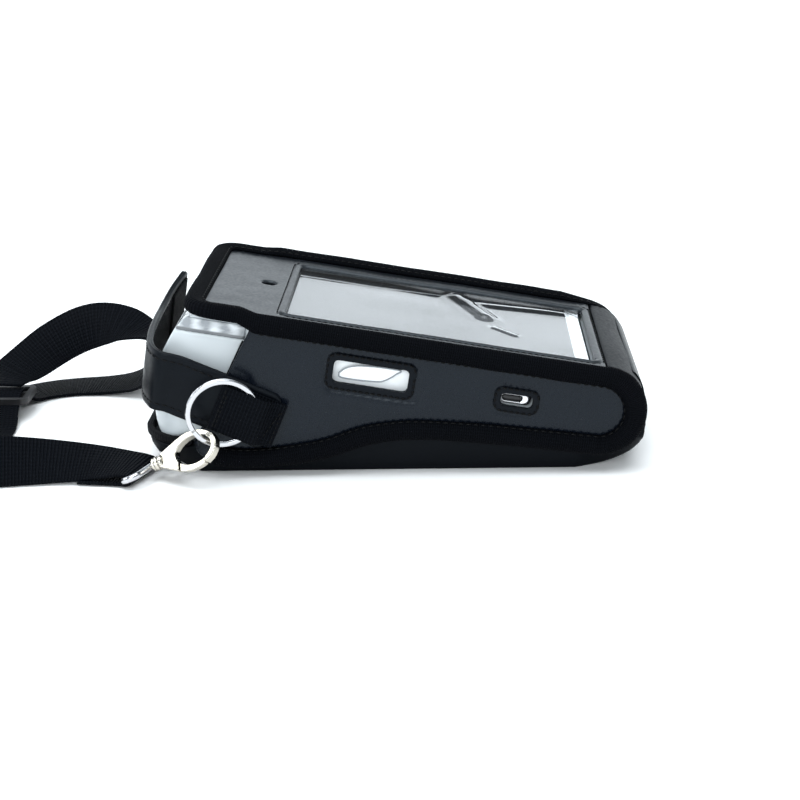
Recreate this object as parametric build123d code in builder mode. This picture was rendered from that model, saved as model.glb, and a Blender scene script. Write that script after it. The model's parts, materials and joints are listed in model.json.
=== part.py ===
"""Leather carrying case for a handheld card terminal, lying on its back.

+X points to the slim card end, -X to the open printer end, +Y to the far side, +Z up.
The origin is at the bottom centre of the case without its shoulder strap. Millimetres.
"""

import os
from math import cos, pi, radians, sin, tan

from build123d import *

os.makedirs("parts", exist_ok=True)

# Driving dimensions of the case
FRONT_TILT = 9.98          # slope of the screen side, degrees
FRONT_Z0 = 52.94           # height of the front leather's outer face at x = 0
INNER_HALF = 41.0          # half width between the side panels
SIDE_T = 2.0               # thickness of a side panel
LEATHER_T = 2.0            # thickness of the wrap leather
RIM_OUT = 46.5             # outermost half width, over the seam tape
RIM_UP = 2.0               # how far the seam tape stands over the seam line
RIM_IN = 4.8               # how far the seam tape comes in over the side
END_C = (74.6, 23.4)       # centre of the slim round end, x and z
END_R = 15.2               # radius of the seam line round the slim end
MOUTH_X = -70.0            # open edge of the front panel
GAP = 0.05                 # air between pieces that are sewn or glued together
CLEAR = 0.3                # air between pieces that move or flex

# Seam line along the back of each side: x and z, from the slim end to the printer end
BACK_SEAM = [(47.5, 11.5), (30.3, 13.4), (12.7, 14.7), (2.3, 14.5), (-8.9, 12.7),
             (-22.2, 8.2), (-36.3, 5.7), (-52.0, 4.6)]
SEAM_END = (-64.0, 5.6)
SIDE_TOP_X = -46.5         # where the side panel's slanted open edge meets the front
SIDE_LOW = (-70.5, 14.0)   # lower end of that slanted edge

# Openings
WINDOW_X = (-36.2, 74.0)
WINDOW_Y = (-36.6, 30.6)            # nearer to the socket's side than to the other
HOLE_X, HOLE_D = -45.9, 5.5
PORT = (-6.2, 37.5, 27.0, 8.4)      # x, z, length and height of the port cut-out
KEY = (45.6, 27.5, 11.6, 4.6)       # the same for the key cut-out
PORT_MARGIN, KEY_MARGIN = 2.6, 2.4  # leather frame round each cut-out
CARD_SLOT = (58.0, 5.0)             # width and height of the slot in the slim end

# Webbing, rings and clasps
WEB_W = 17.4               # width of a ring tab
WEB_T = 0.9                # thickness of the webbing
RING_R, RING_WIRE = 12.2, 1.1
RING_TILT = 14.0           # how far the ring leans out of the tab, degrees
RING_SEAT_Y = 48.2         # half width of the ring's wire deep in the tab's pocket
TAB_SLOPE = 23.6           # slope of the closure strap and the ring tab, degrees
CORD_R = 3.0               # a round cord of about the webbing's section

TILT = radians(FRONT_TILT)
FRONT_DIR = Vector(cos(TILT), 0, -sin(TILT))
FRONT_OUT = Vector(sin(TILT), 0, cos(TILT))


def front_z(x):
    """Height of the front leather's outer face."""
    return FRONT_Z0 - x * tan(TILT)


def front_plane(drop):
    """Plane parallel to the front, `drop` under its outer face, above the origin."""
    return Plane(origin=Vector(0, 0, FRONT_Z0) - FRONT_OUT * drop, x_dir=FRONT_DIR, z_dir=FRONT_OUT)


def along_front(x):
    """Distance along the front plane for a horizontal position x."""
    return x / cos(TILT)


def save(builder, label):
    builder.part.label = label
    export_step(builder.part, f"parts/{label}.step")


def normal_shift(points, out):
    """Points moved by `out` across the line through them, to its right-hand side."""
    moved = []
    for i, (x, z) in enumerate(points):
        before = points[max(i - 1, 0)]
        after = points[min(i + 1, len(points) - 1)]
        run = Vector(after[0] - before[0], after[1] - before[1], 0).normalized()
        moved.append((x - run.Y * out, z + run.X * out))
    return moved


def seam_curve(out, start_x):
    """Seam line of a side, `out` outside it: front, slim end, back. Ends at the printer end."""
    top = front_z(start_x) - 1.0
    first = (start_x + out * sin(TILT), top + out * cos(TILT))
    radius = END_R + out
    turn_top = (END_C[0] + radius * sin(TILT), END_C[1] + radius * cos(TILT))
    turn_side = (END_C[0] + radius, END_C[1])
    turn_low = (END_C[0], END_C[1] - radius)
    back = normal_shift([(END_C[0], END_C[1] - END_R), *BACK_SEAM, SEAM_END], out)
    Line(first, turn_top)
    ThreePointArc(turn_top, _arc_mid(radius, 90 - FRONT_TILT, 0), turn_side)
    ThreePointArc(turn_side, _arc_mid(radius, 0, -90), turn_low)
    Spline(turn_low, *back[1:])
    return first, back[-1]


def _arc_mid(radius, start, end):
    middle = radians((start + end) / 2)
    return END_C[0] + radius * cos(middle), END_C[1] + radius * sin(middle)


# Side panels
SIDE_INSET = -1.1


def side_panel(sign):
    with BuildPart() as panel:
        with BuildSketch(Plane.XZ.offset(-sign * INNER_HALF)):
            with BuildLine():
                first, last = seam_curve(SIDE_INSET, SIDE_TOP_X)
                ThreePointArc(last, (SIDE_LOW[0] + 0.6, SIDE_LOW[1] - 5.0), SIDE_LOW)
                Line(SIDE_LOW, first)
            make_face()
            if sign < 0:
                for x, z, length, height in (PORT, KEY):
                    with Locations(Location((x, z), -FRONT_TILT)):
                        RectangleRounded(length, height, 1.6, mode=Mode.SUBTRACT)
        extrude(amount=-sign * SIDE_T)
    return panel


for side_sign, side_name in ((-1, "near"), (1, "far")):
    save(side_panel(side_sign), f"side_panel_{side_name}")

# Front panel, a flat piece of leather with the window and a round hole
TURN_X = END_C[0] + (END_R + 1.0) * sin(TILT)
FRONT_HALF = INNER_HALF + SIDE_T - 0.1
with BuildPart() as front_panel:
    with BuildSketch(front_plane(0)):
        with BuildLine():
            low_x, high_x = along_front(MOUTH_X + 3.6), along_front(TURN_X) - GAP
            Polyline((low_x, -FRONT_HALF), (high_x, -FRONT_HALF), (high_x, FRONT_HALF),
                     (low_x, FRONT_HALF), close=True)
        make_face()
        middle = along_front(sum(WINDOW_X) / 2)
        with Locations((middle, sum(WINDOW_Y) / 2)):
            RectangleRounded(along_front(WINDOW_X[1] - WINDOW_X[0]), WINDOW_Y[1] - WINDOW_Y[0], 2,
                             mode=Mode.SUBTRACT)
        with Locations((along_front(HOLE_X), 0)):
            Circle(HOLE_D / 2, mode=Mode.SUBTRACT)
    extrude(amount=-LEATHER_T)
save(front_panel, "front_panel")

# Clear film behind the window
FILM_T = 0.5
with BuildPart() as window_film:
    with BuildSketch(front_plane(LEATHER_T + GAP)):
        with Locations((middle - 1, sum(WINDOW_Y) / 2)):
            Rectangle(along_front(WINDOW_X[1] - WINDOW_X[0]) + 2, WINDOW_Y[1] - WINDOW_Y[0] + 7)
    extrude(amount=-FILM_T)
save(window_film, "window_film")


# Back panel: bottom, slim end and lip, a shell with bevelled long edges
def back_profile(inset):
    """Outline of the case at mid width, `inset` inside the leather's outer face."""
    slim_top = Vector(TURN_X, 0, front_z(TURN_X)) - FRONT_OUT * inset
    lip = (-91.2 + inset, 15.0)
    Polyline((lip[0], 60.0), lip)
    Spline(lip, (-86.6 + inset * 0.8, 6.8 + inset * 0.6), (-77.5 + inset * 0.4, 1.9 + inset * 0.9),
           (-64.0, inset), tangents=((-0.2, -1), (1, 0)))
    Line((-64.0, inset), (70.0, inset))
    Spline((70.0, inset), (92.0 - inset, 21.0), (slim_top.X, slim_top.Z),
           tangents=((1, 0), (-cos(TILT), sin(TILT))))
    Polyline((slim_top.X, slim_top.Z), (slim_top.X, 60.0), (lip[0], 60.0))


BEVEL_W, BEVEL_H = 12.5, 12.5


def bevel_section(half, floor, low):
    """Cross-section of the case: upright sides with bevelled lower corners."""
    Polyline((-half, 70), (-half, floor + low), (-half + BEVEL_W, floor), (half - BEVEL_W, floor),
             (half, floor + low), (half, 70), close=True)


def plan_outline(half, left, corner):
    """Plan of the case with rounded corners at the printer end."""
    with Locations(((left + 120) / 2, 0)):
        RectangleRounded(120 - left, 2 * half, corner)


def bevelled_block(inset, half, low):
    """Solid inside the back panel's outline, `inset` under the leather's outer face."""
    with BuildPart() as block:
        with BuildSketch(Plane.XZ.offset(-half)):
            with BuildLine():
                back_profile(inset)
            make_face()
        extrude(amount=2 * half)
        with BuildSketch(Plane.YZ.offset(-100)):
            with BuildLine():
                bevel_section(half, inset, low)
            make_face()
        extrude(amount=220, mode=Mode.INTERSECT)
        with BuildSketch(Plane.XY.offset(-5)):
            plan_outline(half, -91.2 + inset, 20 - inset)
        extrude(amount=80, mode=Mode.INTERSECT)
    return block.part


OUTER_BLOCK = bevelled_block(0, INNER_HALF - GAP, BEVEL_H)
INNER_BLOCK = bevelled_block(LEATHER_T, INNER_HALF - GAP - 0.8 * LEATHER_T, BEVEL_H + 0.4)
LIP_TOP = 11.0
with BuildPart() as back_panel:
    add(OUTER_BLOCK)
    add(INNER_BLOCK, mode=Mode.SUBTRACT)
    with BuildSketch(Plane.XZ.offset(-50)):
        with BuildLine():
            Polyline((-100, LIP_TOP), (-70, LIP_TOP), (-52, 9.0), (-36, 10.0), (-22, 12.5),
                     (-9, 17.0), (3, 19.0), (13, 19.0), (30, 18.0), (47, 16.5), (66, 14.5),
                     (82, 20.0), (84, 27.0), (TURN_X - 1.0, front_z(TURN_X) - 3.0),
                     (TURN_X + 0.2, front_z(TURN_X) - 3.0), (TURN_X + 0.2, 70), (-100, 70), close=True)
        make_face()
    extrude(amount=100, mode=Mode.SUBTRACT)
    with Locations(Location((90, 0, 24.0))):
        Box(20, CARD_SLOT[0], CARD_SLOT[1], mode=Mode.SUBTRACT)
save(back_panel, "back_panel")


# Seam tape round each side: a band on the side face that also laps over the edge
LAP_OUT, LAP_IN = RIM_UP, 1.05


def tape_outline(outer, inner):
    """Closed outline between two offsets of the seam line."""
    first_out, last_out = seam_curve(outer, MOUTH_X)
    first_in, last_in = seam_curve(inner, MOUTH_X)
    Line(first_out, first_in)
    Line(last_out, last_in)


def seam_binding(sign):
    with BuildPart() as binding:
        with BuildSketch(Plane.XZ.offset(-sign * (INNER_HALF + SIDE_T + GAP))):
            with BuildLine():
                tape_outline(RIM_UP, -RIM_IN)
            make_face()
        extrude(amount=-sign * (RIM_OUT - INNER_HALF - SIDE_T - GAP))
        with BuildSketch(Plane.XZ.offset(-sign * INNER_HALF)):
            with BuildLine():
                tape_outline(LAP_OUT, LAP_IN)
            make_face()
        extrude(amount=-sign * (SIDE_T + GAP))
    return binding


for side_sign, side_name in ((-1, "near"), (1, "far")):
    save(seam_binding(side_sign), f"seam_binding_{side_name}")

# Tape across the front panel's open edge
MOUTH_W, MOUTH_UP, MOUTH_DOWN = 3.5, 1.6, 2.6
with BuildPart() as mouth_binding:
    with BuildSketch(front_plane(-MOUTH_UP)):
        with Locations((along_front(MOUTH_X) + MOUTH_W / 2, 0)):
            Rectangle(MOUTH_W, 2 * INNER_HALF - 2 * GAP)
    extrude(amount=-(MOUTH_UP + MOUTH_DOWN))
    fillet(edges().filter_by(Axis.Y), 1.2)
save(mouth_binding, "mouth_binding")


# Flat tape on the slanted open edge of each side
EDGE_TAPE_W, EDGE_TAPE_T = 6.0, 0.6


def side_edge_tape(sign):
    run = (Vector(SIDE_LOW[0], SIDE_LOW[1], 0) - Vector(SIDE_TOP_X, front_z(SIDE_TOP_X), 0)).normalized()
    start = Vector(SIDE_TOP_X, front_z(SIDE_TOP_X), 0) + run * 11.5
    end = Vector(SIDE_LOW[0], SIDE_LOW[1], 0) - run * 1.5
    across = Vector(-run.Y, run.X, 0) * EDGE_TAPE_W
    with BuildPart() as tape:
        with BuildSketch(Plane.XZ.offset(-sign * (INNER_HALF - GAP))):
            with BuildLine():
                Polyline(start, end, end + across, start + across, close=True)
            make_face()
        extrude(amount=sign * EDGE_TAPE_T)
    return tape


for side_sign, side_name in ((-1, "near"), (1, "far")):
    save(side_edge_tape(side_sign), f"side_edge_tape_{side_name}")

# Tape along the top of the lip
with BuildPart() as lip_binding:
    add(bevelled_block(-0.6, INNER_HALF + 0.5, BEVEL_H - 0.4))
    add(INNER_BLOCK, mode=Mode.SUBTRACT)
    with Locations(Location((-83, 0, LIP_TOP + 1.5 + GAP))):
        Box(21, 100, 3.0, mode=Mode.INTERSECT)
save(lip_binding, "lip_binding")


# Stitched leather frames round the cut-outs
FRAME_T = 0.7


def cutout_frame(opening, margin):
    x, z, length, height = opening
    with BuildPart() as frame:
        with BuildSketch(Plane.XZ.offset(INNER_HALF + SIDE_T + GAP)):
            with Locations(Location((x, z), -FRONT_TILT)):
                RectangleRounded(length + 2 * margin, height + 2 * margin, 3.2)
                RectangleRounded(length, height, 1.6, mode=Mode.SUBTRACT)
        extrude(amount=FRAME_T)
    return frame


save(cutout_frame(PORT, PORT_MARGIN), "port_frame")
save(cutout_frame(KEY, KEY_MARGIN), "key_frame")

# Stitched patch with the card slot, outside the slim end
PATCH_T, PATCH_HALF = 1.2, 34.0
with BuildPart() as card_patch:
    with BuildSketch(Plane.XZ.offset(-PATCH_HALF)):
        with BuildLine():
            back_profile(-PATCH_T)
        make_face()
        with BuildLine():
            back_profile(-GAP)
        make_face(mode=Mode.SUBTRACT)
    extrude(amount=2 * PATCH_HALF)
    with Locations(Location((90, 0, 25.5))):
        Box(20, 100, 19.0, mode=Mode.INTERSECT)
    with Locations(Location((90, 0, 24.0))):
        Box(20, CARD_SLOT[0], CARD_SLOT[1], mode=Mode.SUBTRACT)
save(card_patch, "card_patch")

# Closure strap: sewn to the near side, then wrapped round the printer end
STRAP_T, STRAP_W = 2.2, 22.0
STRAP_Y = -(INNER_HALF + SIDE_T + GAP + STRAP_T / 2)
STRAP_TOP = (-57.5, 39.4)       # x and z of a point on the sewn part's top edge
STRAP_SEWN = 21.5               # from that point to the sewn end
HINGE_X = -76.0                 # where the strap bends when it opens
SWING_SLOPE = 10.0              # slope of the part across the printer end


def slope_plane(x, z, slope):
    """Plane whose normal is the strap's width direction; its x runs down to the slim end."""
    tilt = radians(slope)
    return Plane(origin=(x, 0, z), x_dir=(cos(tilt), 0, -sin(tilt)), z_dir=(sin(tilt), 0, cos(tilt)))


SEWN_PLANE = slope_plane(*STRAP_TOP, TAB_SLOPE)
SEWN_TO_HINGE = (HINGE_X - STRAP_TOP[0]) / cos(radians(TAB_SLOPE))
HINGE_TOP = SEWN_PLANE.from_local_coords((SEWN_TO_HINGE, 0, 0))
SWING_PLANE = slope_plane(HINGE_TOP.X, HINGE_TOP.Z, SWING_SLOPE)

with BuildPart() as closure_strap_base:
    with BuildSketch(SEWN_PLANE):
        with BuildLine() as sewn_line:
            Line((STRAP_SEWN, STRAP_Y), (SEWN_TO_HINGE + CLEAR, STRAP_Y))
        trace(sewn_line.line, STRAP_T)
    extrude(amount=-STRAP_W)
    with BuildSketch(Plane.XZ.offset(50)):
        with Locations((HINGE_X - 20 + CLEAR, 30)):
            Rectangle(40, 80)
    extrude(amount=-20, mode=Mode.SUBTRACT)
save(closure_strap_base, "closure_strap_base")

with BuildPart() as closure_strap:
    with BuildSketch(SWING_PLANE):
        with BuildLine() as swing_line:
            Spline((-4.4, STRAP_Y), (-10.6, -31), (-12.6, -10), (-12.9, 14), (-8.8, 42),
                   tangents=((-1, 0), (0.35, 1)))
        trace(swing_line.line, STRAP_T)
    extrude(amount=-STRAP_W)
save(closure_strap, "closure_strap")

# Touch fastener: hooks inside the strap's free end, loops on the far side panel
TAPE_T = 0.8
with BuildPart() as hook_tape:
    with BuildSketch(SWING_PLANE.offset(-2.5)):
        with BuildLine() as hook_line:
            Line((-12.0 + 2.1, 27), (-9.3 + 1.9, 40))
        trace(hook_line.line, TAPE_T)
    extrude(amount=-(STRAP_W - 5))
save(hook_tape, "hook_tape")

with BuildPart() as loop_tape:
    with BuildSketch(Plane.XZ.offset(-(INNER_HALF + SIDE_T + GAP))):
        with Locations(Location((-43.5, 45.5), -FRONT_TILT)):
            RectangleRounded(13, 14, 2)
    extrude(amount=-TAPE_T)
save(loop_tape, "loop_tape")

# Ring tabs: webbing folded round each ring and sewn down
POCKET_IN, POCKET_OUT = 46.75, 50.65            # half widths of the pocket's two faces
TAB_IN, TAB_OUT = POCKET_IN - WEB_T, POCKET_OUT + WEB_T
FOLD = (-61.4, 29.5)                            # middle of the folded edge, x and z
TAB_L, POCKET_L = 24.0, 17.6
TAB_SHIFT = 0.2                                 # tab's middle above the fold's middle
RING_DEEP, RING_LOW = 15.2, -1.1                # the ring's seat along and across the tab
CORNER_CUT = 2.4                                # heat-cut lower corner, clear of the clasp


def ring_tab(sign):
    """Closed loop of webbing, drawn across its width and extruded along it."""
    plane = slope_plane(*FOLD, TAB_SLOPE).offset(TAB_SHIFT - WEB_W / 2)
    middle = (POCKET_IN + POCKET_OUT) / 2
    with BuildPart() as tab:
        with BuildSketch(plane):
            with BuildLine():
                Polyline((WEB_T, sign * TAB_IN), (TAB_L, sign * TAB_IN),
                         (TAB_L, sign * (TAB_IN + 2 * WEB_T)), (POCKET_L + 2.5, sign * TAB_OUT),
                         (WEB_T, sign * TAB_OUT))
                ThreePointArc((WEB_T, sign * TAB_OUT), (0, sign * middle), (WEB_T, sign * TAB_IN))
            make_face()
            with Locations(((POCKET_L + WEB_T) / 2, sign * middle)):
                Rectangle(POCKET_L - WEB_T, POCKET_OUT - POCKET_IN, mode=Mode.SUBTRACT)
        extrude(amount=WEB_W)
        low_corner = Plane(origin=(plane.origin.X, 0, plane.origin.Z), x_dir=plane.x_dir,
                           z_dir=(0, -1, 0))
        with BuildSketch(low_corner):
            with BuildLine():
                Polyline((-1, -1), (CORNER_CUT + 1, -1), (-1, CORNER_CUT + 1), close=True)
            make_face()
        extrude(amount=TAB_OUT + 5, both=True, mode=Mode.SUBTRACT)
    return tab


def ring_plane(sign):
    """Plane of a split ring: origin at its centre, x back into the tab's pocket."""
    tab = slope_plane(*FOLD, TAB_SLOPE)
    seat = tab.from_local_coords((RING_DEEP, sign * RING_SEAT_Y, RING_LOW))
    lean = radians(RING_TILT)
    away = tab.x_dir * -cos(lean) + Vector(0, sign * sin(lean), 0)
    return Plane(origin=seat + away * RING_R, x_dir=away * -1, z_dir=away.cross(tab.z_dir))


def split_ring(sign):
    """Two flat coils of wire, drawn as one closed section."""
    plane = ring_plane(sign)
    section = Plane(origin=plane.origin, x_dir=plane.x_dir, z_dir=plane.y_dir)
    with BuildPart() as ring:
        with BuildSketch(section):
            with Locations((RING_R, 0)):
                RectangleRounded(2 * RING_WIRE, 2 * RING_WIRE, 0.85)
        revolve(axis=Axis(plane.origin, plane.z_dir))
    return ring


for side_sign, side_name in ((-1, "near"), (1, "far")):
    save(ring_tab(side_sign), f"ring_tab_{side_name}")
    save(split_ring(side_sign), f"split_ring_{side_name}")

# The far side has no closure strap, so a leather pad of the same thickness backs its tab
with BuildPart() as tab_pad:
    with BuildSketch(slope_plane(*FOLD, TAB_SLOPE).offset(TAB_SHIFT - WEB_W / 2 - 0.4)):
        with Locations((TAB_L / 2, (TAB_IN + INNER_HALF + SIDE_T) / 2)):
            Rectangle(TAB_L + 1.5, TAB_IN - INNER_HALF - SIDE_T - 2 * GAP)
    extrude(amount=WEB_W + 0.8)
save(tab_pad, "tab_pad_far")

# Clasps. Local x runs from the swivel to the hook's tip, local y across the hook, z through it
CLASP_T = 2.8
HOOK_C, HOOK_SIZE = 16.8, (11.2, 7.4)
HOLE_C, HOLE_SIZE = 17.6, (8.2, 5.2)
GATE_FROM, GATE_TO, GATE_TOP = 11.2, 22.6, -2.9
GATE_PIVOT = (12.4, -5.0)
STEM_R = 1.5


def clasp_plane(swivel, ahead, across):
    """Plane of a clasp from its swivel point, its way ahead and its way across."""
    return Plane(origin=swivel, x_dir=ahead, z_dir=Vector(*ahead).cross(Vector(*across)))


def gate_outline(heel, margin):
    """Outline of the gate, grown by `heel` at the pivot and `margin` elsewhere."""
    Polyline((GATE_FROM - heel, -9), (GATE_TO + margin, -9), (GATE_TO + margin, GATE_TOP + margin),
             (GATE_FROM - heel, GATE_TOP + margin), close=True)


def clasp_body(plane):
    with BuildPart() as body:
        with BuildSketch(plane.offset(-CLASP_T / 2)):
            with Locations((HOOK_C, 0)):
                Ellipse(*HOOK_SIZE)
            with BuildLine():
                Polyline((2.2, -2.6), (10, -6.0), (10, 6.0), (2.2, 2.6), close=True)
            make_face()
            with Locations((HOLE_C, 0)):
                Ellipse(*HOLE_SIZE, mode=Mode.SUBTRACT)
            with BuildLine():
                gate_outline(0.6, CLEAR)
            make_face(mode=Mode.SUBTRACT)
        extrude(amount=CLASP_T)
    return body


def clasp_gate(plane):
    with BuildPart() as gate:
        with BuildSketch(plane.offset(-CLASP_T / 2 + 0.4)):
            with Locations((HOOK_C, 0)):
                Ellipse(*HOOK_SIZE)
            with Locations((HOLE_C, 0)):
                Ellipse(*HOLE_SIZE, mode=Mode.SUBTRACT)
            with BuildLine():
                gate_outline(0, 0)
            make_face(mode=Mode.INTERSECT)
        extrude(amount=CLASP_T - 0.8)
    return gate


# Swivel eyes: an oval of wire behind the swivel point, with a stem into the clasp's end
EYE_L, EYE_W, EYE_WIRE, EYE_SHIFT = 25.0, 9.0, 1.2, 1.6


def swivel_eye(swivel, ahead, along):
    ahead = Vector(*ahead)
    along = (Vector(*along) - ahead * ahead.dot(Vector(*along))).normalized()
    middle = Vector(*swivel) - ahead * (EYE_W / 2 + 1.0) - along * EYE_SHIFT
    plane = Plane(origin=middle, x_dir=along, z_dir=along.cross(ahead))
    half, end = (EYE_L - EYE_W) / 2, EYE_W / 2 - EYE_WIRE
    with BuildPart() as eye:
        with BuildLine(plane) as route:
            Line((-half, end), (half, end))
            ThreePointArc((half, end), (half + end, 0), (half, -end))
            Line((half, -end), (-half, -end))
            ThreePointArc((-half, -end), (-half - end, 0), (-half, end))
        with BuildSketch(Plane(origin=route.line @ 0, z_dir=route.line % 0)):
            Circle(EYE_WIRE)
        sweep(path=route.line)
        with BuildSketch(Plane(origin=Vector(*swivel) - ahead * 1.9, z_dir=ahead)):
            Circle(STEM_R)
        extrude(amount=3.7)
    return eye


CLASPS = {
    "near": ((-84.3, -46.1, 6.3), (0.854, -0.328, 0.405), (-0.103, 0.656, 0.747), (0.36, 0.93, 0.0)),
    "far": ((-91.5, 49.0, 21.0), (0.966, 0.258, -0.033), (0.22, -0.741, 0.634), (-0.26, 0.966, 0.0)),
}
for side_name, (swivel, ahead, across, along) in CLASPS.items():
    plane = clasp_plane(swivel, ahead, across)
    save(clasp_body(plane), f"clasp_{side_name}")
    save(clasp_gate(plane), f"gate_{side_name}")
    save(swivel_eye(swivel, ahead, along), f"eye_{side_name}")

# Terminal: a white body that fills the case and stands out of its printer end
TERMINAL_HALF = 39.0
TOP_DROP = 4.0             # the body's top under the front leather's outer face
BEZEL_T = 0.95
DISPLAY_X, DISPLAY_HALF = (-37.5, 68.0), 36.9


def terminal_profile(inset):
    top_right = Vector(68.0, 0, front_z(68.0)) - FRONT_OUT * (TOP_DROP + inset)
    top_left = Vector(-64.0, 0, front_z(-64.0)) - FRONT_OUT * (TOP_DROP + inset)
    Line((top_right.X, top_right.Z), (top_left.X, top_left.Z))
    Spline((top_left.X, top_left.Z), (-79.6 + inset, 49.0), (-85.4 + inset, 37.5),
           (-87.6 + inset, 24.0), (-85.0 + inset, 13.0), (-77.4 + inset * 0.6, 5.9 + inset * 0.8),
           (-64.0, 2.4 + inset), tangents=((-cos(TILT), sin(TILT)), (1, 0)))
    Line((-64.0, 2.4 + inset), (66.0, 2.4 + inset))
    Spline((66.0, 2.4 + inset), (87.2 - inset, 21.0), (top_right.X, top_right.Z),
           tangents=((1, 0), (-cos(TILT), sin(TILT))))


def terminal_block(inset):
    half = TERMINAL_HALF - inset
    with BuildPart() as block:
        with BuildSketch(Plane.XZ.offset(-half)):
            with BuildLine():
                terminal_profile(inset)
            make_face()
        extrude(amount=2 * half)
        with BuildSketch(Plane.YZ.offset(-100)):
            with BuildLine():
                bevel_section(half, 2.4 + inset, BEVEL_H + 1.0)
            make_face()
        extrude(amount=220, mode=Mode.INTERSECT)
        with BuildSketch(Plane.XY.offset(-5)):
            plan_outline(half, -88.8 + inset, 18.5 - inset)
        extrude(amount=80, mode=Mode.INTERSECT)
    return block.part


def front_slab(top, bottom, x_range, half):
    """Slab parallel to the front between two drops under it."""
    with BuildPart() as slab:
        with BuildSketch(front_plane(top)):
            low, high = along_front(x_range[0]), along_front(x_range[1])
            with Locations(((low + high) / 2, 0)):
                Rectangle(high - low, 2 * half)
        extrude(amount=-(bottom - top))
    return slab.part


BAND_TOP, BAND_LOW, BAND_T, BAND_X = 6.0, 11.5, 1.4, (-100.0, -49.0)
BAND_ROOM = front_slab(BAND_TOP, BAND_LOW, BAND_X, 60)
TERMINAL_CORE = terminal_block(BAND_T)
TERMINAL_SKIN = terminal_block(0)
with BuildPart() as terminal_body:
    add(TERMINAL_SKIN)
    with BuildPart(mode=Mode.PRIVATE) as recess:
        add(BAND_ROOM)
        add(TERMINAL_CORE, mode=Mode.SUBTRACT)
    add(recess.part, mode=Mode.SUBTRACT)
save(terminal_body, "terminal_body")

with BuildPart() as printer_window:
    add(TERMINAL_SKIN)
    add(TERMINAL_CORE, mode=Mode.SUBTRACT)
    add(front_slab(BAND_TOP + GAP, BAND_LOW - GAP, (BAND_X[0], BAND_X[1] - GAP), 60),
        mode=Mode.INTERSECT)
save(printer_window, "printer_window")

SENSOR_D = 8.0
with BuildPart() as terminal_bezel:
    add(front_slab(TOP_DROP - BEZEL_T, TOP_DROP - GAP, (-64.0, 68.0 + 5.5), TERMINAL_HALF - 1))
    add(front_slab(TOP_DROP - BEZEL_T - 1, TOP_DROP + 1, DISPLAY_X, DISPLAY_HALF),
        mode=Mode.SUBTRACT)
    with BuildSketch(front_plane(0)):
        with Locations((along_front(HOLE_X), 0)):
            Circle(SENSOR_D / 2)
    extrude(amount=-10, mode=Mode.SUBTRACT)
save(terminal_bezel, "terminal_bezel")

with BuildPart() as display_glass:
    add(front_slab(TOP_DROP - BEZEL_T + 0.1, TOP_DROP - GAP,
                   (DISPLAY_X[0] + GAP, DISPLAY_X[1] - GAP), DISPLAY_HALF - GAP))
save(display_glass, "display_glass")

with BuildPart() as sensor_window:
    with BuildSketch(front_plane(TOP_DROP - BEZEL_T + 0.1)):
        with Locations((along_front(HOLE_X), 0)):
            Circle(SENSOR_D / 2 - GAP)
    extrude(amount=-(BEZEL_T - 0.2))
save(sensor_window, "sensor_window")


def side_plate(opening, length, height, radius, near, far):
    """Plate on the terminal's near side behind a cut-out, between two half widths."""
    with BuildPart() as plate:
        with BuildSketch(Plane.XZ.offset(near)):
            with Locations(Location((opening[0], opening[1]), -FRONT_TILT)):
                RectangleRounded(length, height, radius)
        extrude(amount=far - near)
    return plate


FACE = TERMINAL_HALF + GAP
save(side_plate(PORT, 29.0, 10.0, 2.0, FACE, FACE + 0.9), "port_surround")

COVER_L, COVER_H, COVER_T = 23.0, 6.2, 0.9
with BuildPart() as port_cover:
    with BuildSketch(Plane.XZ.offset(FACE + 0.9 + GAP)):
        with Locations(Location((PORT[0], PORT[1]), -FRONT_TILT)):
            Ellipse(COVER_L / 2, COVER_H / 2)
    extrude(amount=COVER_T)
save(port_cover, "port_cover")

with BuildPart() as key_bezel:
    with BuildSketch(Plane.XZ.offset(FACE)):
        with Locations(Location((KEY[0], KEY[1]), -FRONT_TILT)):
            RectangleRounded(11.0, 4.2, 2.0)
            RectangleRounded(8.4, 2.0, 0.95, mode=Mode.SUBTRACT)
    extrude(amount=1.8)
save(key_bezel, "key_bezel")
save(side_plate(KEY, 8.2, 1.8, 0.85, FACE + 0.6, FACE + 1.6), "side_key")

# Shoulder strap: webbing drawn as a round cord of about the same section
ROLL_C, ROLL_R, ROLL_H = (-222.0, -6.0), 50.0, 20.0
LIE = CORD_R + 0.1                      # height of a cord's middle on the table
NEAR_ROUTE = [(-95.0, -43.9, LIE), (-110.0, -41.5, LIE), (-128.0, -43.0, LIE),
              (-151.0, -49.0, LIE), (-179.0, -53.0, LIE), (-207.0, -53.4, LIE)]
FAR_ROUTE = [(-196.0, -44.0, LIE), (-178.0, -36.0, LIE), (-164.0, -20.0, LIE),
             (-159.5, 1.0, LIE), (-162.0, 22.0, LIE), (-161.0, 41.0, LIE), (-146.0, 54.0, LIE),
             (-127.0, 57.5, LIE), (-112.5, 57.0, LIE + 0.6), (-104.5, 54.5, 9.5),
             (-102.0, 51.5, 17.5)]
RETURN_ROUTE = [(-102.5, 48.8, 25.5), (-112.0, 52.5, 30.0), (-126.0, 57.0, 29.5),
                (-142.0, 55.5, 22.0), (-156.0, 47.0, 12.5), (-161.5, 34.0, 9.4)]


def turn_radii(points):
    """The largest tangent arcs that the runs beside each corner allow."""
    radii = []
    for before, here, after in zip(points, points[1:], points[2:]):
        first, second = Vector(*here) - Vector(*before), Vector(*after) - Vector(*here)
        half_turn = radians(first.get_angle(second)) / 2
        radii.append(0.45 * min(first.length, second.length) / tan(half_turn))
    return radii


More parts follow.
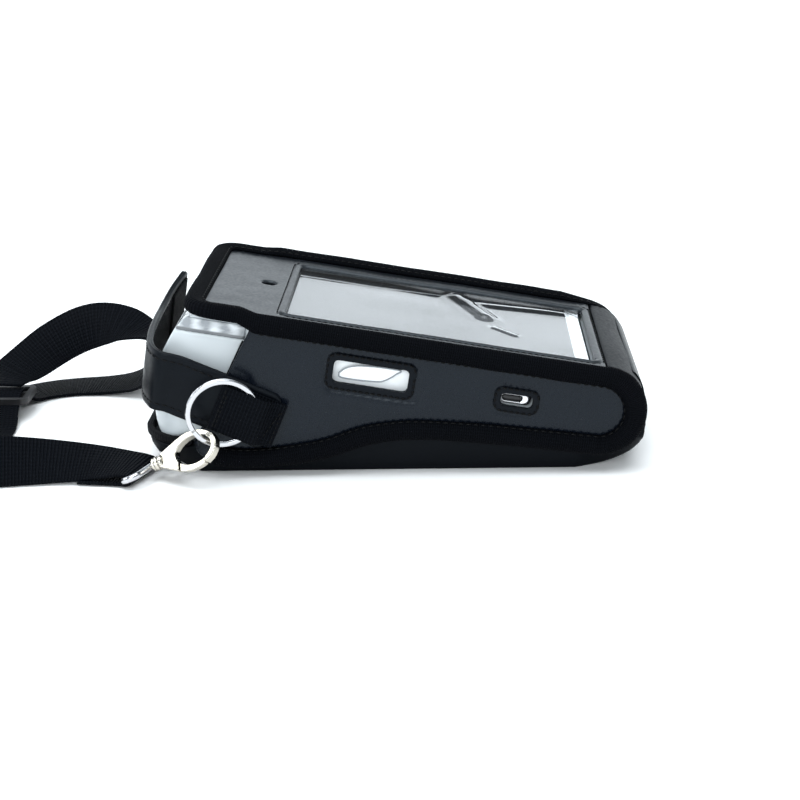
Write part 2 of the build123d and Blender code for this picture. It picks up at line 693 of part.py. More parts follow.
def cord(points):
    radii = turn_radii(points)
    with BuildPart() as tube:
        with BuildLine() as route:
            FilletPolyline(*points, radius=radii)
        with BuildSketch(Plane(origin=route.line @ 0, z_dir=route.line % 0)):
            Circle(CORD_R)
        sweep(path=route.line)
    length = sum(edge.length for edge in route.edges())
    print("cord radii", [round(r) for r in radii], "length", round(length, 1),
          "volume over section times length", round(tube.part.volume / length / pi / CORD_R**2, 4))
    return tube


save(cord(NEAR_ROUTE), "strap_near_run")
save(cord(FAR_ROUTE), "strap_far_run")
save(cord(RETURN_ROUTE), "strap_return_run")

with BuildPart() as strap_roll:
    with BuildSketch(Plane.XY.offset(0.05)):
        with Locations(ROLL_C):
            Circle(ROLL_R)
            Circle(5.0, mode=Mode.SUBTRACT)
    extrude(amount=ROLL_H)
save(strap_roll, "strap_roll")

# Three-bar slider where the far end of the strap is sewn on
SLIDER_C, SLIDER_L, SLIDER_W, SLIDER_T, BAR = (-161.8, 27.0), 27.0, 18.0, 2.4, 2.4
with BuildPart() as strap_slider:
    with BuildSketch(Plane.XY.offset(7.0)):
        with Locations(SLIDER_C):
            RectangleRounded(SLIDER_L, SLIDER_W, 3)
            with GridLocations(1, (SLIDER_W - BAR) / 2, 1, 2):
                Rectangle(SLIDER_L - 2 * BAR, (SLIDER_W - 3 * BAR) / 2, mode=Mode.SUBTRACT)
    extrude(amount=SLIDER_T)
save(strap_slider, "strap_slider")
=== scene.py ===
"""Leather carrying case for a handheld card terminal: leather, tape, webbing, film and metal.

Shapes are worked out in millimetres and turned into metres where a mesh is made.
"""

import json
import math

import bmesh
import bpy
import numpy as np
from mathutils import Matrix, Vector, noise


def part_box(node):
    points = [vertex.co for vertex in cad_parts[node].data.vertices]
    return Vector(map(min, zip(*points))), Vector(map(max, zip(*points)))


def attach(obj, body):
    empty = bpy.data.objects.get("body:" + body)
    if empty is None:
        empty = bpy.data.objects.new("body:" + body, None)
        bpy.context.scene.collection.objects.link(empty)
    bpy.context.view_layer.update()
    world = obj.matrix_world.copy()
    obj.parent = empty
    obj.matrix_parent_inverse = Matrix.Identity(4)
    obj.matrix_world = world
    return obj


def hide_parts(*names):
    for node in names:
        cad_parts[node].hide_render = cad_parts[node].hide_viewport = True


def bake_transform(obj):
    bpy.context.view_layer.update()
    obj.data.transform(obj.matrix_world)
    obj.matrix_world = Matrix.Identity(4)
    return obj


MM = 0.001
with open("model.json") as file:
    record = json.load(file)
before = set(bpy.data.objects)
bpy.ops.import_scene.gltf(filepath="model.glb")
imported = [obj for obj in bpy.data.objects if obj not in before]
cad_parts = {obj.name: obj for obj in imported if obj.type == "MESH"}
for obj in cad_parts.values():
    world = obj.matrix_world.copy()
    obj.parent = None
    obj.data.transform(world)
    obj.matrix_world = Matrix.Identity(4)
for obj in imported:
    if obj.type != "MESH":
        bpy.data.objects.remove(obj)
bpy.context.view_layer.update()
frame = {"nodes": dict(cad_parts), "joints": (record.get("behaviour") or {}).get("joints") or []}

# Driving dimensions, as in the design
TILT = math.radians(9.98)
FRONT_Z0 = 52.94
INNER_HALF = 41.0
END_C, END_R = (74.6, 23.4), 15.2
MOUTH_X = -70.0
BACK_SEAM = [(47.5, 11.5), (30.3, 13.4), (12.7, 14.7), (2.3, 14.5), (-8.9, 12.7),
             (-22.2, 8.2), (-36.3, 5.7), (-52.0, 4.6), (-64.0, 5.6)]
WINDOW_X, WINDOW_Y = (-36.2, 74.0), (-36.6, 30.6)
PORT = (-6.2, 37.5, 27.0, 8.4)      # a cut-out's x, z, length and height
KEY = (45.6, 27.5, 11.6, 4.6)
FRONT_DIR = np.array([math.cos(TILT), 0, -math.sin(TILT)])  # along the front, to the slim end
FRONT_OUT = np.array([math.sin(TILT), 0, math.cos(TILT)])
Y_WAY = np.array([0.0, 1, 0])
UP = np.array([0.0, 0, 1])
SIDE_FACE = -43.72          # outer face of the stitched frames on the near side
COVER_FACE = -40.95         # outer face of the port's cover


def front_z(x):
    return FRONT_Z0 - x * math.tan(TILT)


# Materials
class Nodes:
    """A material's node tree, with short calls to add and join nodes."""

    def __init__(self, name):
        self.material = bpy.data.materials.new(name)
        self.material.use_nodes = True
        self.tree = self.material.node_tree
        self.shader = self.tree.nodes["Principled BSDF"]
        self.output = self.tree.nodes["Material Output"]

    def add(self, kind, inputs=(), **fields):
        node = self.tree.nodes.new("ShaderNode" + kind)
        for key, value in fields.items():
            setattr(node, key, value)
        for key, value in dict(inputs).items():
            self.put(node.inputs[key], value)
        return node

    def put(self, socket, value):
        if isinstance(value, bpy.types.NodeSocket):
            self.tree.links.new(value, socket)
        else:
            socket.default_value = value

    def set(self, **inputs):
        for key, value in inputs.items():
            self.put(self.shader.inputs[key.replace("_", " ")], value)

    def place(self, uv=False):
        return self.add("TexCoord").outputs["UV" if uv else "Object"]

    def noise(self, at, scale, detail):
        inputs = {"Vector": at, "Scale": scale, "Detail": detail, "Roughness": 0.55}
        return self.add("TexNoise", inputs).outputs["Fac"]

    def math(self, operation, a, b=0.0):
        node = self.add("Math", operation=operation)
        self.put(node.inputs[0], a)
        self.put(node.inputs[1], b)
        return node.outputs[0]

    def ramp(self, value, low, high, to_low, to_high):
        inputs = {"Value": value, "From Min": low, "From Max": high, "To Min": to_low, "To Max": to_high}
        return self.add("MapRange", inputs).outputs[0]

    def mix(self, value, first, second):
        node = self.add("Mix", data_type="RGBA")
        self.put(node.inputs["Factor"], value)
        self.put(node.inputs["A"], (*first, 1))
        self.put(node.inputs["B"], (*second, 1))
        return node.outputs["Result"]

    def bump(self, height, depth):
        inputs = {"Height": height, "Distance": depth, "Strength": 1.0}
        self.set(Normal=self.add("Bump", inputs).outputs[0])


def leather(name, dark, light, rough, grain, wrinkle, shine):
    """Smooth coated leather: fine grain, slow waves and slightly uneven gloss."""
    n = Nodes(name)
    at = n.place()
    cells = n.add("TexVoronoi", {"Vector": at, "Scale": 2300.0}, feature="SMOOTH_F1").outputs["Distance"]
    broad = n.noise(at, 45.0, 4.0)
    fine = n.noise(at, 900.0, 3.0)
    # Reflections tinted blue: a painted colour cast of the bluish light.
    n.set(Base_Color=n.mix(broad, dark, light), Roughness=n.ramp(fine, 0.3, 0.7, rough - 0.05, rough + 0.07),
          Specular_IOR_Level=shine, Specular_Tint=(0.84, 0.93, 1.0, 1))
    height = n.math("ADD", n.math("MULTIPLY", cells, grain), n.math("MULTIPLY", broad, wrinkle))
    n.bump(n.math("ADD", height, n.math("MULTIPLY", fine, grain * 0.5)), 1.0)
    return n.material


def ribbed(name, rib, column, dark, light, depth, rough, shine):
    """Woven tape: ribs across it every `rib` metres and columns along it every `column`."""
    n = Nodes(name)
    parts = n.add("SeparateXYZ", {"Vector": n.place(uv=True)})
    along = n.math("SINE", n.math("MULTIPLY", parts.outputs[0], 2 * math.pi / rib))
    across = n.math("SINE", n.math("MULTIPLY", parts.outputs[1], 2 * math.pi / column))
    weave = n.math("ADD", along, n.math("MULTIPLY", across, 0.35))
    fuzz = n.noise(n.place(), 1500.0, 2.0)
    # Rib crests painted lighter and the grooves between them darker: painted shade of the weave's relief, on
    # top of the bump.
    shade = n.ramp(weave, -1.5, 1.5, 0.0, 1.0)
    n.set(Base_Color=n.mix(shade, dark, light), Roughness=n.ramp(fuzz, 0.2, 0.8, rough - 0.1, rough + 0.1),
          Specular_IOR_Level=shine)
    n.bump(n.math("ADD", n.math("MULTIPLY", weave, depth), n.math("MULTIPLY", fuzz, depth * 0.8)), 1.0)
    return n.material


def woven(name, cell, dark, light, depth, rough):
    """Woven tape on a piece with no lengthwise coordinates: knots every `cell` metres each way."""
    n = Nodes(name)
    at = n.place()
    parts = n.add("SeparateXYZ", {"Vector": at})
    waves = [n.math("SINE", n.math("MULTIPLY", parts.outputs[i], 2 * math.pi / cell)) for i in range(3)]
    weave = n.math("MULTIPLY", n.math("ADD", waves[0], waves[1]), n.math("ADD", waves[2], 1.3))
    fuzz = n.noise(at, 1500.0, 2.0)
    n.set(Base_Color=n.mix(fuzz, dark, light), Roughness=n.ramp(fuzz, 0.2, 0.8, rough - 0.1, rough + 0.1),
          Specular_IOR_Level=0.14)
    n.bump(n.math("ADD", n.math("MULTIPLY", weave, depth), n.math("MULTIPLY", fuzz, depth)), 1.0)
    return n.material


def metal(name, color, rough):
    """Plated metal with faint polishing marks and soft stains."""
    n = Nodes(name)
    at = n.place()
    marks = n.noise(at, 700.0, 4.0)
    stain = n.noise(at, 90.0, 2.0)
    dim = tuple(c * 0.86 for c in color)
    n.set(Base_Color=n.mix(stain, color, dim), Metallic=1.0,
          Roughness=n.ramp(marks, 0.3, 0.7, rough, rough + 0.08))
    n.bump(marks, 0.000006)
    return n.material


def plastic(name, color, rough, grain=0.000004, shine=0.5):
    """Moulded plastic with a very fine surface and slow sink waves."""
    n = Nodes(name)
    at = n.place()
    fine = n.noise(at, 1400.0, 3.0)
    slow = n.noise(at, 30.0, 2.0)
    dim = tuple(c * 0.93 for c in color)
    n.set(Base_Color=n.mix(slow, color, dim), Roughness=n.ramp(fine, 0.3, 0.7, rough - 0.03, rough + 0.05),
          Specular_IOR_Level=shine)
    n.bump(fine, grain)
    return n.material


def clear(name, tint, rough, ior):
    """Clear sheet that lets light through."""
    n = Nodes(name)
    smear = n.noise(n.place(), 60.0, 3.0)
    n.set(Base_Color=(*tint, 1), Roughness=n.ramp(smear, 0.3, 0.7, rough, rough + 0.03), IOR=ior,
          Transmission_Weight=1.0)
    path = n.add("LightPath").outputs["Is Shadow Ray"]
    pass_by = n.add("BsdfTransparent", {"Color": (*tint, 1)})
    mixer = n.add("MixShader", {0: path, 1: n.shader.outputs[0], 2: pass_by.outputs[0]})
    n.put(n.output.inputs["Surface"], mixer.outputs[0])
    return n.material


LEATHER = leather("front_leather", (0.0050, 0.0062, 0.0080), (0.0080, 0.0095, 0.0120),
                  rough=0.33, grain=0.000012, wrinkle=0.00005, shine=0.42)
SIDE_LEATHER = leather("side_leather", (0.0018, 0.0028, 0.0054), (0.0030, 0.0046, 0.0084),
                       rough=0.24, grain=0.000003, wrinkle=0.00005, shine=0.22)
# Back leather: a darker, duller copy of the leather, painted shade for the underside of the case.
BACK_LEATHER_SHADED = leather("back_leather", (0.0014, 0.0018, 0.0028), (0.0024, 0.0030, 0.0044),
                       rough=0.42, grain=0.00002, wrinkle=0.00006, shine=0.08)
TRIM_LEATHER = leather("trim_leather", (0.0018, 0.0024, 0.0038), (0.0030, 0.0038, 0.0056),
                       rough=0.33, grain=0.00002, wrinkle=0.00006, shine=0.10)
TAPE = ribbed("binding_tape", 0.0008, 0.0012, (0.0010, 0.0012, 0.0018), (0.0030, 0.0036, 0.0052),
              depth=0.00014, rough=0.8, shine=0.03)
WEBBING = ribbed("webbing", 0.00125, 0.0016, (0.0008, 0.0012, 0.0022), (0.0036, 0.0046, 0.0068),
                 depth=0.00020, rough=0.62, shine=0.04)
FLAT_TAPE = woven("flat_tape", 0.0008, (0.0010, 0.0012, 0.0018), (0.0034, 0.0038, 0.0050),
                  depth=0.00004, rough=0.8)
LINING = woven("strap_lining", 0.0009, (0.0008, 0.0009, 0.0012), (0.0022, 0.0024, 0.0030),
               depth=0.00008, rough=0.85)
FLUFF = woven("touch_fastener", 0.0006, (0.0016, 0.0017, 0.0020), (0.0050, 0.0052, 0.0060),
              depth=0.00012, rough=0.9)
THREAD = plastic("thread", (0.0012, 0.0013, 0.0016), rough=0.5, shine=0.12)
# Two copies of one white plastic: terminal_white is painted grey as shade, terminal_bright is the same white
# without that painted shade.
WHITE_SHADED = plastic("terminal_white", (0.56, 0.60, 0.62), rough=0.20)
BRIGHT = plastic("terminal_bright", (0.93, 0.95, 0.96), rough=0.16)
# Grey for the rim round the port's cover: painted shade of the gap round it.
SHADE_LINE_GREY = plastic("port_shade_line", (0.25, 0.27, 0.29), rough=0.25)
DARK = plastic("dark_plastic", (0.006, 0.006, 0.007), rough=0.42, grain=0.00001)
SCREEN = plastic("display_glass", (0.004, 0.005, 0.006), rough=0.12, grain=0.0, shine=0.10)
NICKEL = metal("ring_steel", (0.60, 0.60, 0.62), rough=0.07)
WARM_METAL = metal("clasp_metal", (0.68, 0.64, 0.56), rough=0.10)
SATIN = metal("key_trim", (0.78, 0.78, 0.80), rough=0.16)
FILM = clear("clear_film", (0.97, 0.98, 0.99), rough=0.015, ior=1.5)


def banded_cover():
    """Clear cover over a paper roll: cloudy streaks and ridges painted bright as highlights, and painted
    grey shade along the lower rim.
    """
    n = Nodes("printer_cover")
    at = n.place()
    parts = n.add("SeparateXYZ", {"Vector": at})
    drop = n.math("ADD", n.math("MULTIPLY", parts.outputs[0], -math.sin(TILT)),
                  n.math("MULTIPLY", parts.outputs[2], -math.cos(TILT)))
    depth = n.math("ADD", drop, FRONT_Z0 * MM * math.cos(TILT))
    slant = n.math("ADD", parts.outputs[0], parts.outputs[1])
    ripple = n.math("SINE", n.math("MULTIPLY", slant, 2 * math.pi / 0.0068))
    cloud = n.noise(n.add("Mapping", {"Vector": at, "Scale": (1, 1, 2.5)}).outputs[0], 170.0, 3.0)
    streak = n.math("ADD", n.math("MULTIPLY", ripple, 0.22), cloud)
    # Painted highlights: ridges and streaks made lighter in the base colour.
    painted_glints = n.ramp(streak, 0.30, 0.78, 0.10, 0.85)
    # Painted shade: dark grey along the cover's lower rim.
    rim = n.ramp(depth, 0.0098, 0.0103, 0.0, 1.0)
    base = n.add("Mix", {"Factor": rim}, data_type="RGBA")
    n.put(base.inputs["A"], n.mix(painted_glints, (0.20, 0.22, 0.24), (0.80, 0.84, 0.87)))
    n.put(base.inputs["B"], (0.13, 0.14, 0.15, 1))
    n.set(Base_Color=base.outputs["Result"], Roughness=n.ramp(cloud, 0.3, 0.7, 0.06, 0.12),
          Coat_Weight=0.6)
    n.bump(streak, 0.0009)
    return n.material


PRINTER_COVER = banded_cover()


# Meshes
def new_object(name, mesh, material, body, nodes=()):
    obj = bpy.data.objects.new(name, mesh)
    bpy.context.scene.collection.objects.link(obj)
    mesh.materials.clear()
    mesh.materials.append(material)
    mesh.shade_smooth()
    if body:
        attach(obj, body)
    if nodes:
        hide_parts(*nodes)
    return obj


def mesh_of(name, points, faces, uvs=None):
    mesh = bpy.data.meshes.new(name)
    mesh.from_pydata([tuple(p) for p in np.asarray(points, float) * MM], [], faces)
    if uvs is not None:
        layer = mesh.uv_layers.new(name="UVMap")
        loops = np.zeros(len(mesh.loops), int)
        mesh.loops.foreach_get("vertex_index", loops)
        layer.data.foreach_set("uv", (np.asarray(uvs)[loops] * MM).ravel())
    mesh.validate()
    mesh.update()
    return mesh


def unit(v):
    v = np.asarray(v, float)
    return v / np.maximum(np.linalg.norm(v, axis=-1, keepdims=True), 1e-12)


def along_line(path):
    return np.concatenate([[0], np.cumsum(np.linalg.norm(np.diff(path, axis=0), axis=1))])


def tangents(path):
    return unit(np.gradient(np.asarray(path, float), axis=0))


def sweep(path, side, up, profile, closed=False):
    """Mesh of a closed profile carried along a path; `profile` is one outline, or one for each point."""
    path = np.asarray(path, float)
    count = len(path)
    outlines = np.broadcast_to(profile, (count, *np.shape(profile)[-2:]))
    size = outlines.shape[1]
    points = path[:, None] + side[:, None] * outlines[..., :1] + up[:, None] * outlines[..., 1:]
    ring = along_line(np.vstack([outlines[0], outlines[0][:1]]))[:-1]
    uvs = [(u, v) for u in along_line(path) for v in ring]
    faces = []
    for i in range(count if closed else count - 1):
        for j in range(size):
            a, b = i * size, (i + 1) % count * size
            k = (j + 1) % size
            faces.append((a + j, a + k, b + k, b + j))
    if not closed:
        faces += [tuple(range(size))[::-1], tuple(range((count - 1) * size, count * size))]
    return points.reshape(-1, 3), faces, uvs


def joined(parts):
    """Several (points, faces, uvs) as one."""
    points, faces, uvs = [], [], []
    for p, f, u in parts:
        faces += [tuple(i + len(points) for i in face) for face in f]
        points += list(p)
        uvs += list(u)
    return points, faces, uvs


def smooth_line(points, each=8):
    """A smooth line through the points, by Catmull and Rom's formula."""
    p = np.asarray(points, float)
    p = np.vstack([2 * p[0] - p[1], p, 2 * p[-1] - p[-2]])
    t = np.linspace(0, 1, each, endpoint=False)[:, None]
    out = []
    for a, b, c, d in zip(p, p[1:], p[2:], p[3:]):
        out.append(0.5 * (2 * b + (c - a) * t + (2 * a - 5 * b + 4 * c - d) * t**2
                          + (3 * b - a - 3 * c + d) * t**3))
    return np.vstack(out + [p[-2:-1]])


def respaced(line, step):
    line = np.asarray(line, float)
    far = along_line(line)
    at = np.linspace(0, far[-1], max(2, round(far[-1] / step) + 1))
    return np.stack([np.interp(at, far, line[:, k]) for k in range(line.shape[1])], axis=1)


def rounded_box(width, height, radius, steps):
    """Outline of a rectangle with round corners, centred."""
    outline = []
    for sx, sy, start in ((1, 1, 0), (-1, 1, 90), (-1, -1, 180), (1, -1, 270)):
        for k in range(steps + 1):
            a = math.radians(start + 90 * k / steps)
            outline.append((sx * (width / 2 - radius) + radius * math.cos(a),
                            sy * (height / 2 - radius) + radius * math.sin(a)))
    return np.array(outline)


def remeshed(node, voxel, rounds, turn=0.0):
    """A CAD node's mesh with even faces of about `voxel` mm and softened edges."""
    mesh = frame["nodes"][node].data.copy()
    bm = bmesh.new()
    bm.from_mesh(mesh)
    bmesh.ops.remove_doubles(bm, verts=bm.verts, dist=1e-6)
    bmesh.ops.rotate(bm, verts=bm.verts, matrix=Matrix.Rotation(turn, 3, "Y"))
    bm.to_mesh(mesh)
    bm.free()
    helper = bpy.data.objects.new("helper", mesh)
    bpy.context.scene.collection.objects.link(helper)
    grid = helper.modifiers.new("grid", "REMESH")
    grid.mode = "VOXEL"
    grid.voxel_size = voxel * MM * 1
    soften = helper.modifiers.new("soften", "SMOOTH")
    soften.iterations = rounds
    helper_eval = helper.evaluated_get(bpy.context.evaluated_depsgraph_get())
    out = bpy.data.meshes.new_from_object(helper_eval)
    bpy.data.objects.remove(helper)
    out.transform(Matrix.Rotation(-turn, 4, "Y"))
    return out


def softened(name, node, voxel, rounds, material, body="case"):
    """A piece in place of a CAD node: its shape with even faces and softened edges."""
    new_object(name, remeshed(node, voxel, rounds), material, body, (node,))


def moved(mesh, shift):
    """Moves a mesh's points by shift(points in mm, normals), which returns the new points."""
    count = len(mesh.vertices)
    points, normals = np.zeros(count * 3), np.zeros(count * 3)
    mesh.vertices.foreach_get("co", points)
    mesh.vertices.foreach_get("normal", normals)
    points = shift(points.reshape(-1, 3) / MM, normals.reshape(-1, 3))
    mesh.vertices.foreach_set("co", (points * MM).ravel())
    mesh.update()
    return mesh


def wander(points, scale, seed):
    """Smooth noise from -1 to 1 at each point; `scale` is the size of its waves in mm."""
    return np.array([noise.noise(Vector(p) / scale + Vector((seed, seed * 2, 0))) for p in points])


def stitches(line, outward, pitch, thread, lift=0.05, gap=0.45):
    """Separate stitches of thread along a line, each dipping into the surface at its ends."""
    line = np.asarray(line, float)
    far = along_line(line)
    parts = []
    ring = [(math.cos(a), math.sin(a)) for a in np.linspace(0, 2 * math.pi, 6, endpoint=False)]
    for k in range(int(far[-1] // pitch)):
        span = np.linspace(k * pitch + gap / 2, (k + 1) * pitch - gap / 2, 5)
        path = np.stack([np.interp(span, far, line[:, i]) for i in range(3)], axis=1)
        out = unit(np.stack([np.interp(span, far, outward[:, i]) for i in range(3)], axis=1))
        path = path + out * (lift + thread * np.array([-0.9, 0.15, 0.35, 0.15, -0.9]))[:, None]
        side = unit(np.cross(tangents(path), out))
        width = thread * np.array([0.45, 0.95, 1.0, 0.95, 0.45])
        parts.append(sweep(path, side, out, np.array(ring)[None] * width[:, None, None]))
    return joined(parts)


# Camera: the photograph's place and angle
YAW, PITCH, ROLL = map(math.radians, (-2.267, 19.24, -1.48))
lens = bpy.data.cameras.new("camera")
lens.lens, lens.sensor_width = 71.45, 36.0
lens.clip_start = 0.01
camera = bpy.data.objects.new("camera", lens)
bpy.context.scene.collection.objects.link(camera)
EYE = 0.02524, -0.57861, 0.21545
turn = Matrix.Rotation(-YAW, 4, "Z") @ Matrix.Rotation(math.pi / 2 - PITCH, 4, "X")
camera.matrix_world = Matrix.Translation(EYE) @ turn @ Matrix.Rotation(ROLL, 4, "Z")
bpy.context.scene.camera = camera

# Shoulder strap: one length of webbing. Each point has x, y, z and the way its width points:
# an angle round from +X, and a lean up from level
WEB_W, WEB_T = 20.0, 1.3
COIL_C, COIL_Z, COIL_OUT, COIL_PITCH = (-222.0, -6.0), 10.1, 49.0, 15.7
NEAR_END = [(-112, -42.0, 1.6, 75, 2), (-102, -43.0, 1.4, 72, 1), (-94.5, -44.3, 1.2, 69, 0),
            (-90.0, -45.6, 1.2, 69, 0), (-89.2, -45.8, 4.4, 69, 0), (-94.5, -44.2, 5.4, 69, 2),
            (-101, -43.0, 5.2, 74, 9)]
NEAR_RUN = [(-110.0, -41.5, 5.2, 80, 18), (-128.0, -43.0, 6.6, 88, 33), (-151.0, -49.0, 9.0, 95, 58),
            (-179.0, -53.0, 10.1, 90, 84), (-207.0, -53.0, 10.1, 90, 90)]
FAR_RUN = [(-180.0, -35.0, 10.1, 140, 88), (-165.5, -20.0, 8.5, 170, 55), (-160.0, -6.0, 3.0, 180, 14),
           (-160.0, 6.0, 1.3, 180, 2), (-161.5, 15.0, 4.4, 180, 0), (-162.0, 23.0, 9.2, 180, 0),
           (-162.0, 30.5, 10.8, 180, 0), (-161.5, 38.0, 4.6, 176, 0), (-158.0, 45.0, 1.4, 150, 0),
           (-150.0, 53.0, 1.2, 122, 1), (-138.0, 57.5, 1.2, 105, 1), (-124.0, 57.5, 1.6, 95, 2),
           (-112.5, 55.0, 4.0, 95, 2), (-104.5, 50.5, 9.5, 100, 0), (-100.0, 46.8, 16.5, 105, 0),
           (-96.6, 45.6, 21.4, 105, 0)]
RETURN_RUN = [(-99.0, 45.6, 25.6, 105, 2), (-106.0, 49.0, 28.4, 103, 12), (-116.0, 53.5, 30.2, 100, 30),
              (-130.0, 57.0, 28.5, 100, 62), (-144.0, 55.5, 22.0, 118, 52), (-155.0, 47.0, 15.0, 150, 22),
              (-161.0, 37.0, 12.6, 178, 4), (-162.0, 28.0, 12.4, 180, 0)]


def coil_turns():
    """In round one arm of a double spiral, through its middle and out along the other."""
    inner, step = 8.0, 30.0
    start_in, start_out = -72.4, -55.6
    turn_in = (COIL_OUT - inner) / COIL_PITCH * 360
    gap = ((start_out + 180 - start_in) % 360) / 360 * COIL_PITCH
    outer = COIL_OUT - gap
    arm_in = [(start_in - a, COIL_OUT - a / 360 * COIL_PITCH) for a in np.arange(step, turn_in, step)]
    turn_out = (outer - inner) / COIL_PITCH * 360
    arm_out = [(start_out - a, outer - a / 360 * COIL_PITCH) for a in np.arange(0, turn_out, step)][::-1]
    points = []
    for angle, radius in arm_in + [(0, 0.0)] + arm_out:
        a = math.radians(angle)
        points.append((COIL_C[0] + radius * math.cos(a), COIL_C[1] + radius * math.sin(a), COIL_Z, 90, 90))
    return points


def spline_points(name, points):
    """Points along a NURBS spline of order 3 with these control points, in mm."""
    curve = bpy.data.curves.new(name, "CURVE")
    curve.dimensions = "3D"
    curve.resolution_u = 6
    spline = curve.splines.new("NURBS")
    spline.points.add(len(points) - 1)
    for point, at in zip(spline.points, points):
        point.co = (*(v * MM for v in at), 1)
    spline.order_u = 3
    spline.use_endpoint_u = True
    helper = bpy.data.objects.new(name, curve)
    mesh = bpy.data.meshes.new_from_object(helper)
    line = np.array([v.co for v in mesh.vertices]) / MM
    bpy.data.objects.remove(helper)
    return line


STRAP_ROUTE = NEAR_END + NEAR_RUN + coil_turns() + FAR_RUN + RETURN_RUN


def width_way(angle, lean):
    a, b = math.radians(angle), math.radians(lean)
    return np.array([math.cos(a) * math.cos(b), math.sin(a) * math.cos(b), math.sin(b)])


def shoulder_strap():
    middles = [np.array(p[:3]) for p in STRAP_ROUTE]
    edges = [m + width_way(*p[3:]) * WEB_W / 2 for m, p in zip(middles, STRAP_ROUTE)]
    line = spline_points("strap_line", middles)
    side = unit(spline_points("strap_edge", edges) - line)
    ahead = tangents(line)
    side = unit(side - ahead * (side * ahead).sum(1, keepdims=True))
    up = np.cross(ahead, side)
    mesh = mesh_of("shoulder_strap", *sweep(line, side, up, rounded_box(WEB_W, WEB_T, 0.5, 2)))
    return mesh, line


strap_mesh, strap_line = shoulder_strap()
strap = new_object("shoulder_strap", strap_mesh, WEBBING, "case",
                   ("strap_near_run", "strap_far_run", "strap_return_run", "strap_roll"))


# Seam line of a side: x, z and outward way, from the printer end over the slim end and back
def seam_line():
    turn = [(END_C[0] + END_R * math.cos(a), END_C[1] + END_R * math.sin(a))
            for a in np.linspace(math.pi / 2 - TILT, -math.pi / 2, 30)]
    start = [(x, front_z(x) - 1.0) for x in (MOUTH_X, -30.0, 20.0, 70.0)]
    back = smooth_line([turn[-2], turn[-1], *BACK_SEAM], 8)[8:]
    line = respaced(np.vstack([start, turn, back]), 1.2)
    ahead = tangents(line)
    return line, np.stack([-ahead[:, 1], ahead[:, 0]], axis=1)


SEAM, SEAM_OUT = seam_line()


def in_plane(flat, y):
    """2-D points (x, z) put at this y, or at one y each."""
    flat = np.asarray(flat, float)
    return np.stack([flat[:, 0], np.broadcast_to(np.asarray(y, float), len(flat)), flat[:, 1]], axis=1)


def on_side(place, y, outline):
    """A flat outline set at `place` (x, z) on a side, turned parallel to the front."""
    return np.array([place[0], y, place[1]]) + outline[:, :1] * FRONT_DIR + outline[:, 1:] * FRONT_OUT


def front_points(x, y, lift):
    """Points on the front leather's outer face at these x and y."""
    x, y = np.broadcast_arrays(np.asarray(x, float), np.asarray(y, float))
    return np.stack([x, y, front_z(x)], axis=-1) + FRONT_OUT * lift


# Seam tape: its section on the near side, on the far side and round the front's open edge. Each
# point is out from the side panel's line and up from the seam line
TAPE_NEAR = np.array([(1.2, 0.9), (1.35, 1.2), (1.9, 1.4), (2.6, 1.42), (3.5, 1.15), (4.4, 0.5),
                      (5.1, -0.4), (5.45, -1.6), (5.45, -2.9), (5.1, -4.2), (4.3, -5.3), (3.2, -5.9),
                      (2.1, -6.0), (2.0, -5.2), (2.05, -0.4), (2.0, 0.5)])
TAPE_FAR = np.array([(-1.5, 1.05), (-1.3, 2.0), (-0.2, 2.6), (1.2, 3.1), (2.7, 3.2), (4.0, 2.6),
                     (5.0, 1.4), (5.45, -0.4), (5.45, -2.2), (5.1, -3.9), (4.3, -5.2), (3.2, -5.9),
                     (2.1, -6.0), (2.0, -5.2), (2.0, 0.4), (1.9, 1.0)])
TAPE_MOUTH = np.array([(-2.3, 1.05), (-2.1, 1.75), (-0.6, 2.15), (1.2, 2.5), (2.7, 2.6), (4.0, 2.15),
                       (4.9, 1.3), (5.3, 0.1), (5.3, -1.1), (4.9, -2.1), (4.1, -2.7), (3.0, -2.9),
                       (1.8, -2.7), (1.4, -1.6), (1.4, 0.4), (1.3, 1.0)])
MOUTH_AT, CORNER_R = -67.1, 5.5


def rim_path():
    """The tape's path round both sides and the mouth, its side and up ways, and its share of the
    mouth's section."""
    keep = SEAM[:, 0] > MOUTH_AT + CORNER_R
    first = int(np.argmax(keep))
    line, out = SEAM[first:], SEAM_OUT[first:]
    share = np.clip((-46.0 - line[:, 0]) / 6.0, 0, 1) * (np.arange(len(line)) < 60)
    leg = in_plane(line, 0)
    up = np.stack([out[:, 0], 0 * out[:, 0], out[:, 1]], axis=1)
    y_way = np.tile(Y_WAY, (len(leg), 1))
    near = leg + [0, -INNER_HALF, 0]
    far = leg + [0, INNER_HALF, 0]
    centre = front_points(MOUTH_AT + CORNER_R, 0, -1.0)
    corner, corner_side = [], []
    for sign, angles in ((-1, np.linspace(4, 90, 9)), (1, np.linspace(90, 4, 9))):
        for a in np.radians(angles):
            way = np.array([0, sign * math.cos(a), 0]) - FRONT_DIR * math.sin(a)
            corner.append(centre + [0, sign * (INNER_HALF - CORNER_R), 0] + way * CORNER_R)
            corner_side.append(way)
    half = len(corner) // 2
    middle = [corner[half - 1] + (corner[half] - corner[half - 1]) * t for t in np.linspace(0, 1, 50)[1:-1]]
    mouth = len(corner) + len(middle)
    points = np.vstack([near[::-1], corner[:half], middle, corner[half:], far])
    middle_side = np.tile(-FRONT_DIR, (len(middle), 1))
    side = np.vstack([-y_way, corner_side[:half], middle_side, corner_side[half:], y_way])
    ups = np.vstack([up[::-1], np.tile(FRONT_OUT, (mouth, 1)), up])
    shares = np.concatenate([share[::-1], np.ones(mouth), share])
    return points, side, ups, shares


RIM, RIM_SIDE, RIM_UP, RIM_SHARE = rim_path()


